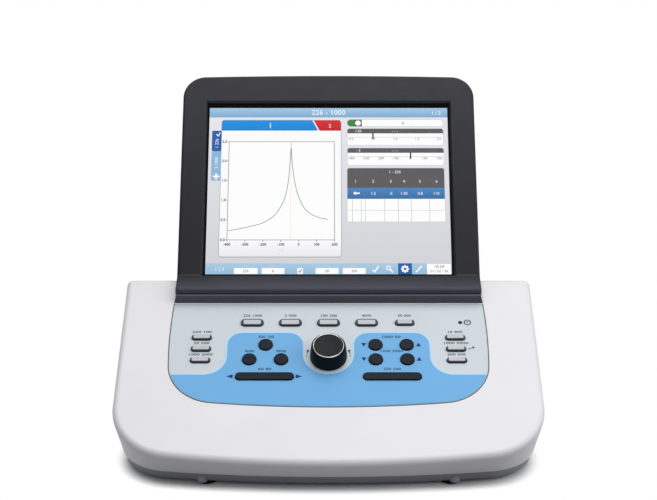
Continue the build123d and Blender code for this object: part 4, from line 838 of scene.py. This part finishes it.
# The knob: a dark body on its shaft, a bright ring let into its rim, and a dished cap
shaft_left, shaft_right = reach_of("knob_shaft")[0]
bore = (shaft_right - shaft_left) / 2
KNOB_FOOT, KNOB_SEAT = 0.5, 11.0
grip = [(bore, KNOB_FOOT), (15.2, KNOB_FOOT), (15.2, 2.5), (14.1, 12.7), (13.95, 13.3),
        (13.6, 13.75), (13.2, 13.9), (12.7, 13.9), (12.7, KNOB_SEAT), (bore, KNOB_SEAT)]
bezel = [(11.9, KNOB_SEAT), (12.65, KNOB_SEAT), (12.65, 14.4), (12.5, 14.62), (12.28, 14.7),
         (12.05, 14.62), (11.9, 14.4)]
dish = [(0, KNOB_SEAT), (11.85, KNOB_SEAT), (11.85, 14.2), (11.5, 14.35), (9.0, 14.0),
        (6.0, 13.65), (3.0, 13.45), (0, 13.4)]
solid("knob_grip", turned(grip, KNOB_ROW), KNOB, "knob", "knob_body")
solid("knob_bezel", turned(bezel, KNOB_ROW), BRIGHT, "knob", "knob_ring")
solid("knob_dish", turned(dish, KNOB_ROW), KNOB_TOP, "knob", "knob_cap")

# A light pad on the top of each light key. Those of the side keys and of the fifth top key
# reach to the rear edge
PAD_FRONT_RIM, PAD_CORNER, PAD_LIFT = 0.8, 0.9, 0.03
for name in nodes:
    if slots[name] != "key_light":
        continue
    top = reach_of(name)[2][1]
    (left, right), (front, back), _ = reach_of(name, top - 0.05)
    side_key = name.startswith(("left", "right"))
    side_rim = 1.2 if side_key else 1.9
    rear_rim = 0.0 if side_key or name.endswith("_5") else 0.9
    pad = Sheet(name, top + PAD_LIFT, "key_light", name)
    pad.box(KEY_TOP, left + side_rim, front + PAD_FRONT_RIM, right - side_rim, back - rear_rim,
            corner=PAD_CORNER)
    pad.finish()

# Plain numbers over the keys. Each has its width, so that it fills the place of the real words
TOP_NUMBERS = (("226 1000", 16), ("2 000", 10), ("100 200", 14), ("4000", 8), ("50 000", 11))
LEFT_NUMBERS = (("500 100", 16), ("20 500", 13), ("1000 2000", 20))
RIGHT_NUMBERS = (("10 400", 13), ("1000 5000", 21), ("200 300", 15))
FIELD_NUMBERS = (
    ("300 100", -51.8, 126.3, 13), ("4000", -64.8, 111.0, 8), ("8000", -38.8, 111.0, 8),
    ("1000 50", 51.7, 126.3, 16), ("1500 3000", 51.7, 111.2, 19), ("60 80", -51.9, 92.4, 11),
    ("250 500", 51.8, 92.4, 14),
)
TOP_ROW, TOP_PITCH, TOP_SIZE = 149.6, 31.8, 3.6
SIDE_ROW, SIDE_PITCH, SIDE_COLUMN = 131.8, 12, 104.9
NUMBER_SIZE, NUMBER_BOLD = 3.4, 0.05
marks = Sheet("panel", 0.03, "panel_grey", step=0.02)
upper_marks = Sheet("field", FIELD_TOP + 0.02, "field_blue", step=0.02)
for n, (number, width) in enumerate(TOP_NUMBERS):
    marks.words(MARK, number, TOP_PITCH * (n - 2), TOP_ROW, TOP_SIZE,
                width=width, bold=NUMBER_BOLD)
for n, pair in enumerate(zip(LEFT_NUMBERS, RIGHT_NUMBERS)):
    for x, (number, width) in zip((-SIDE_COLUMN, SIDE_COLUMN), pair):
        marks.words(MARK, number, x, SIDE_ROW - SIDE_PITCH * n, NUMBER_SIZE,
                    width=width, bold=NUMBER_BOLD)
for number, x, v, width in FIELD_NUMBERS:
    upper_marks.words(MARK, number, x, v, NUMBER_SIZE, width=width, bold=NUMBER_BOLD)

# Arrows at the ends of the left bar, and beside the right round keys
for side, x in ((-1, -80.3), (1, -23.9)):
    upper_marks.face(
        MARK_BLUE, [(x + side * 2.7, 84.9), (x - side * 2.7, 87.0), (x - side * 2.7, 82.8)])
for x, v, way in ((29.0, 118.0, -1), (29.0, 102.8, -1), (74.1, 118.0, 1), (74.1, 102.8, 1)):
    upper_marks.face(
        MARK_BLUE, [(x, v + way * 2.2), (x - 2.1, v - way * 1.8), (x + 2.1, v - way * 1.8)])

# The sign beside the power light, the arrow beside a right key, and the turning arrows of the knob
marks.line(MARK, circle(116, 142.2, 2.6, 32), 0.9, closed=True)
marks.line(MARK, [(116, 141.6), (116, 143.6)], 0.8)
marks.line(MARK, [(114.6, 113.6), (119.4, 115.0)], 0.6)
marks.face(MARK, [(118.4, 116.6), (120.6, 115.5), (118.9, 113.8)])
for side in (-1, 1):
    marks.line(MARK, [(side * 17.0, 111.0), (side * 17.7, 108.6)], 0.8)
    marks.face(MARK, [(side * 15.4, 111.0), (side * 16.7, 113.4), (side * 18.5, 111.2)])
    marks.disc(MARK, side * 17.9, 106.4, 0.55)
marks.finish()
upper_marks.finish()

# The fine dark joint between the panel and the case round it
joint = Sheet("panel_joint", 0.04, "panel_grey")
joint.line(SEAM, panel_edge, JOINT_WIDTH, closed=True)
joint.finish()

# A painted highlight: a white line over the panel's rear edge and the gap before the strip under
# the chin, brighter than the case so that it stays light beside the strip's shade
rear_highlight = Sheet("panel_rear_highlight", 0.08, "case_white")
rear_highlight.box(REAR_HIGHLIGHT, -130.3, 162.6, 130.3, 163.55)
rear_highlight.finish()

# The strip under the chin, with its ends cut to a slope, measured in metres. Its colour is the
# housing's plastic painted lighter, as painted light.
STRIP_TRIM, STRIP_SLOPE = 0.0005, 0.0022
form = copy_of("chin_strip")
wide = max(abs(v.co.x) for v in form.verts)
low, high = min(v.co.z for v in form.verts), max(v.co.z for v in form.verts)
for side in (-1, 1):
    cut_off(form, (side * (wide - STRIP_TRIM), 0, low), (side * (high - low), 0, STRIP_SLOPE))
bmesh.ops.recalc_face_normals(form, faces=form.faces)
solid("chin_strip_cut_painted_light", mesh_of(form, "chin_strip"), STRIP_PAINTED_LIGHT, "base",
      "chin_strip")


# Floor, light and camera, with their lengths in metres

def either_ray(tree, first, second):
    """1 for two kinds of rays, and 0 for the others."""
    rays = add(tree, "ShaderNodeLightPath").outputs
    return reckoned(tree, "MAXIMUM", rays[first], rays[second])


def mixed(tree, share, first, second):
    """One shader where the share is 0, and another where it is 1."""
    node = add(tree, "ShaderNodeMixShader", {"Fac": share, 1: first, 2: second})
    return node.outputs["Shader"]


def diffuse(tree, *colour):
    """A plain matt shader."""
    return add(tree, "ShaderNodeBsdfDiffuse", {"Color": (*colour, 1.0)}).outputs["BSDF"]


def softbox(name, place, aim, size, power):
    """A rectangular area lamp that points at a place."""
    lamp = bpy.data.lights.new(name, "AREA")
    lamp.shape = "RECTANGLE"
    lamp.size, lamp.size_y = size
    lamp.energy = power
    holder = placed(name, lamp)
    holder.location = place
    holder.rotation_euler = (Vector(aim) - Vector(place)).to_track_quat("-Z", "Y").to_euler()


# The floor is seen as white, with the contact shade round the feet, and lights the object dimly
form = bmesh.new()
bmesh.ops.create_grid(form, x_segments=4, y_segments=4, size=9.0)
floor_mesh = mesh_of(form, "floor")
floor = placed("floor", floor_mesh)
floor_material = bpy.data.materials.new("floor_pale")
floor_material.use_nodes = True
floor_mesh.materials.append(floor_material)
tree = floor_material.node_tree
tree.nodes.clear()
contact = add(tree, "ShaderNodeAmbientOcclusion", {"Distance": 0.014})
contact.samples = 16
seen_floor = mixed(
    tree, ramp(tree, contact.outputs["AO"], 0.42, 0.85, 0.0, 1.0), diffuse(tree, 0.9, 0.9, 0.9),
    add(tree, "ShaderNodeEmission", {"Strength": 1.0}).outputs["Emission"])
add(tree, "ShaderNodeOutputMaterial", {"Surface": mixed(
    tree, either_ray(tree, "Is Camera Ray", "Is Glossy Ray"), diffuse(tree, 0.2, 0.2, 0.21),
    seen_floor)})

# The world is seen as white, and lights the object with a soft glow that grows upwards
world = bpy.data.worlds.new("studio")
bpy.context.scene.world = world
world.use_nodes = True
tree = world.node_tree
tree.nodes.clear()
white = add(tree, "ShaderNodeBackground", {"Color": (1, 1, 1, 1), "Strength": 1.0})
direction = add(tree, "ShaderNodeTexCoord").outputs["Generated"]
rise = add(tree, "ShaderNodeSeparateXYZ", {"Vector": direction}).outputs["Z"]
soft = add(tree, "ShaderNodeBackground", {
    "Color": (0.95, 0.97, 1.0, 1), "Strength": ramp(tree, rise, -0.1, 0.9, 0.26, 0.58)})
add(tree, "ShaderNodeOutputWorld", {"Surface": mixed(
    tree, either_ray(tree, "Is Camera Ray", "Is Transmission Ray"), soft.outputs["Background"],
    white.outputs["Background"])})

softbox("overhead", (0.15, -0.1, 1.9), (0.0, -0.05, 0.1), (1.8, 1.4), 16.5)
softbox("right_side", (1.5, -0.6, 1.1), (0.0, 0.0, 0.12), (1.0, 1.0), 9)

# The photograph is 657 pixels wide, and its focal length is 1500 of them
SENSOR, PHOTO_WIDE, PHOTO_FOCUS = 36.0, 657, 1500
lens = bpy.data.cameras.new("camera")
lens.sensor_fit = "HORIZONTAL"
lens.sensor_width = SENSOR
lens.lens = SENSOR * PHOTO_FOCUS / PHOTO_WIDE
lens.clip_start = 0.05
lens.clip_end = 50.0
camera = placed("camera", lens)
camera.location = (0.0, -1.1901, 0.5629)
camera.rotation_euler = (math.radians(71.0), 0.0, 0.0)
bpy.context.scene.camera = camera
bpy.context.scene.view_settings.view_transform = "Standard"
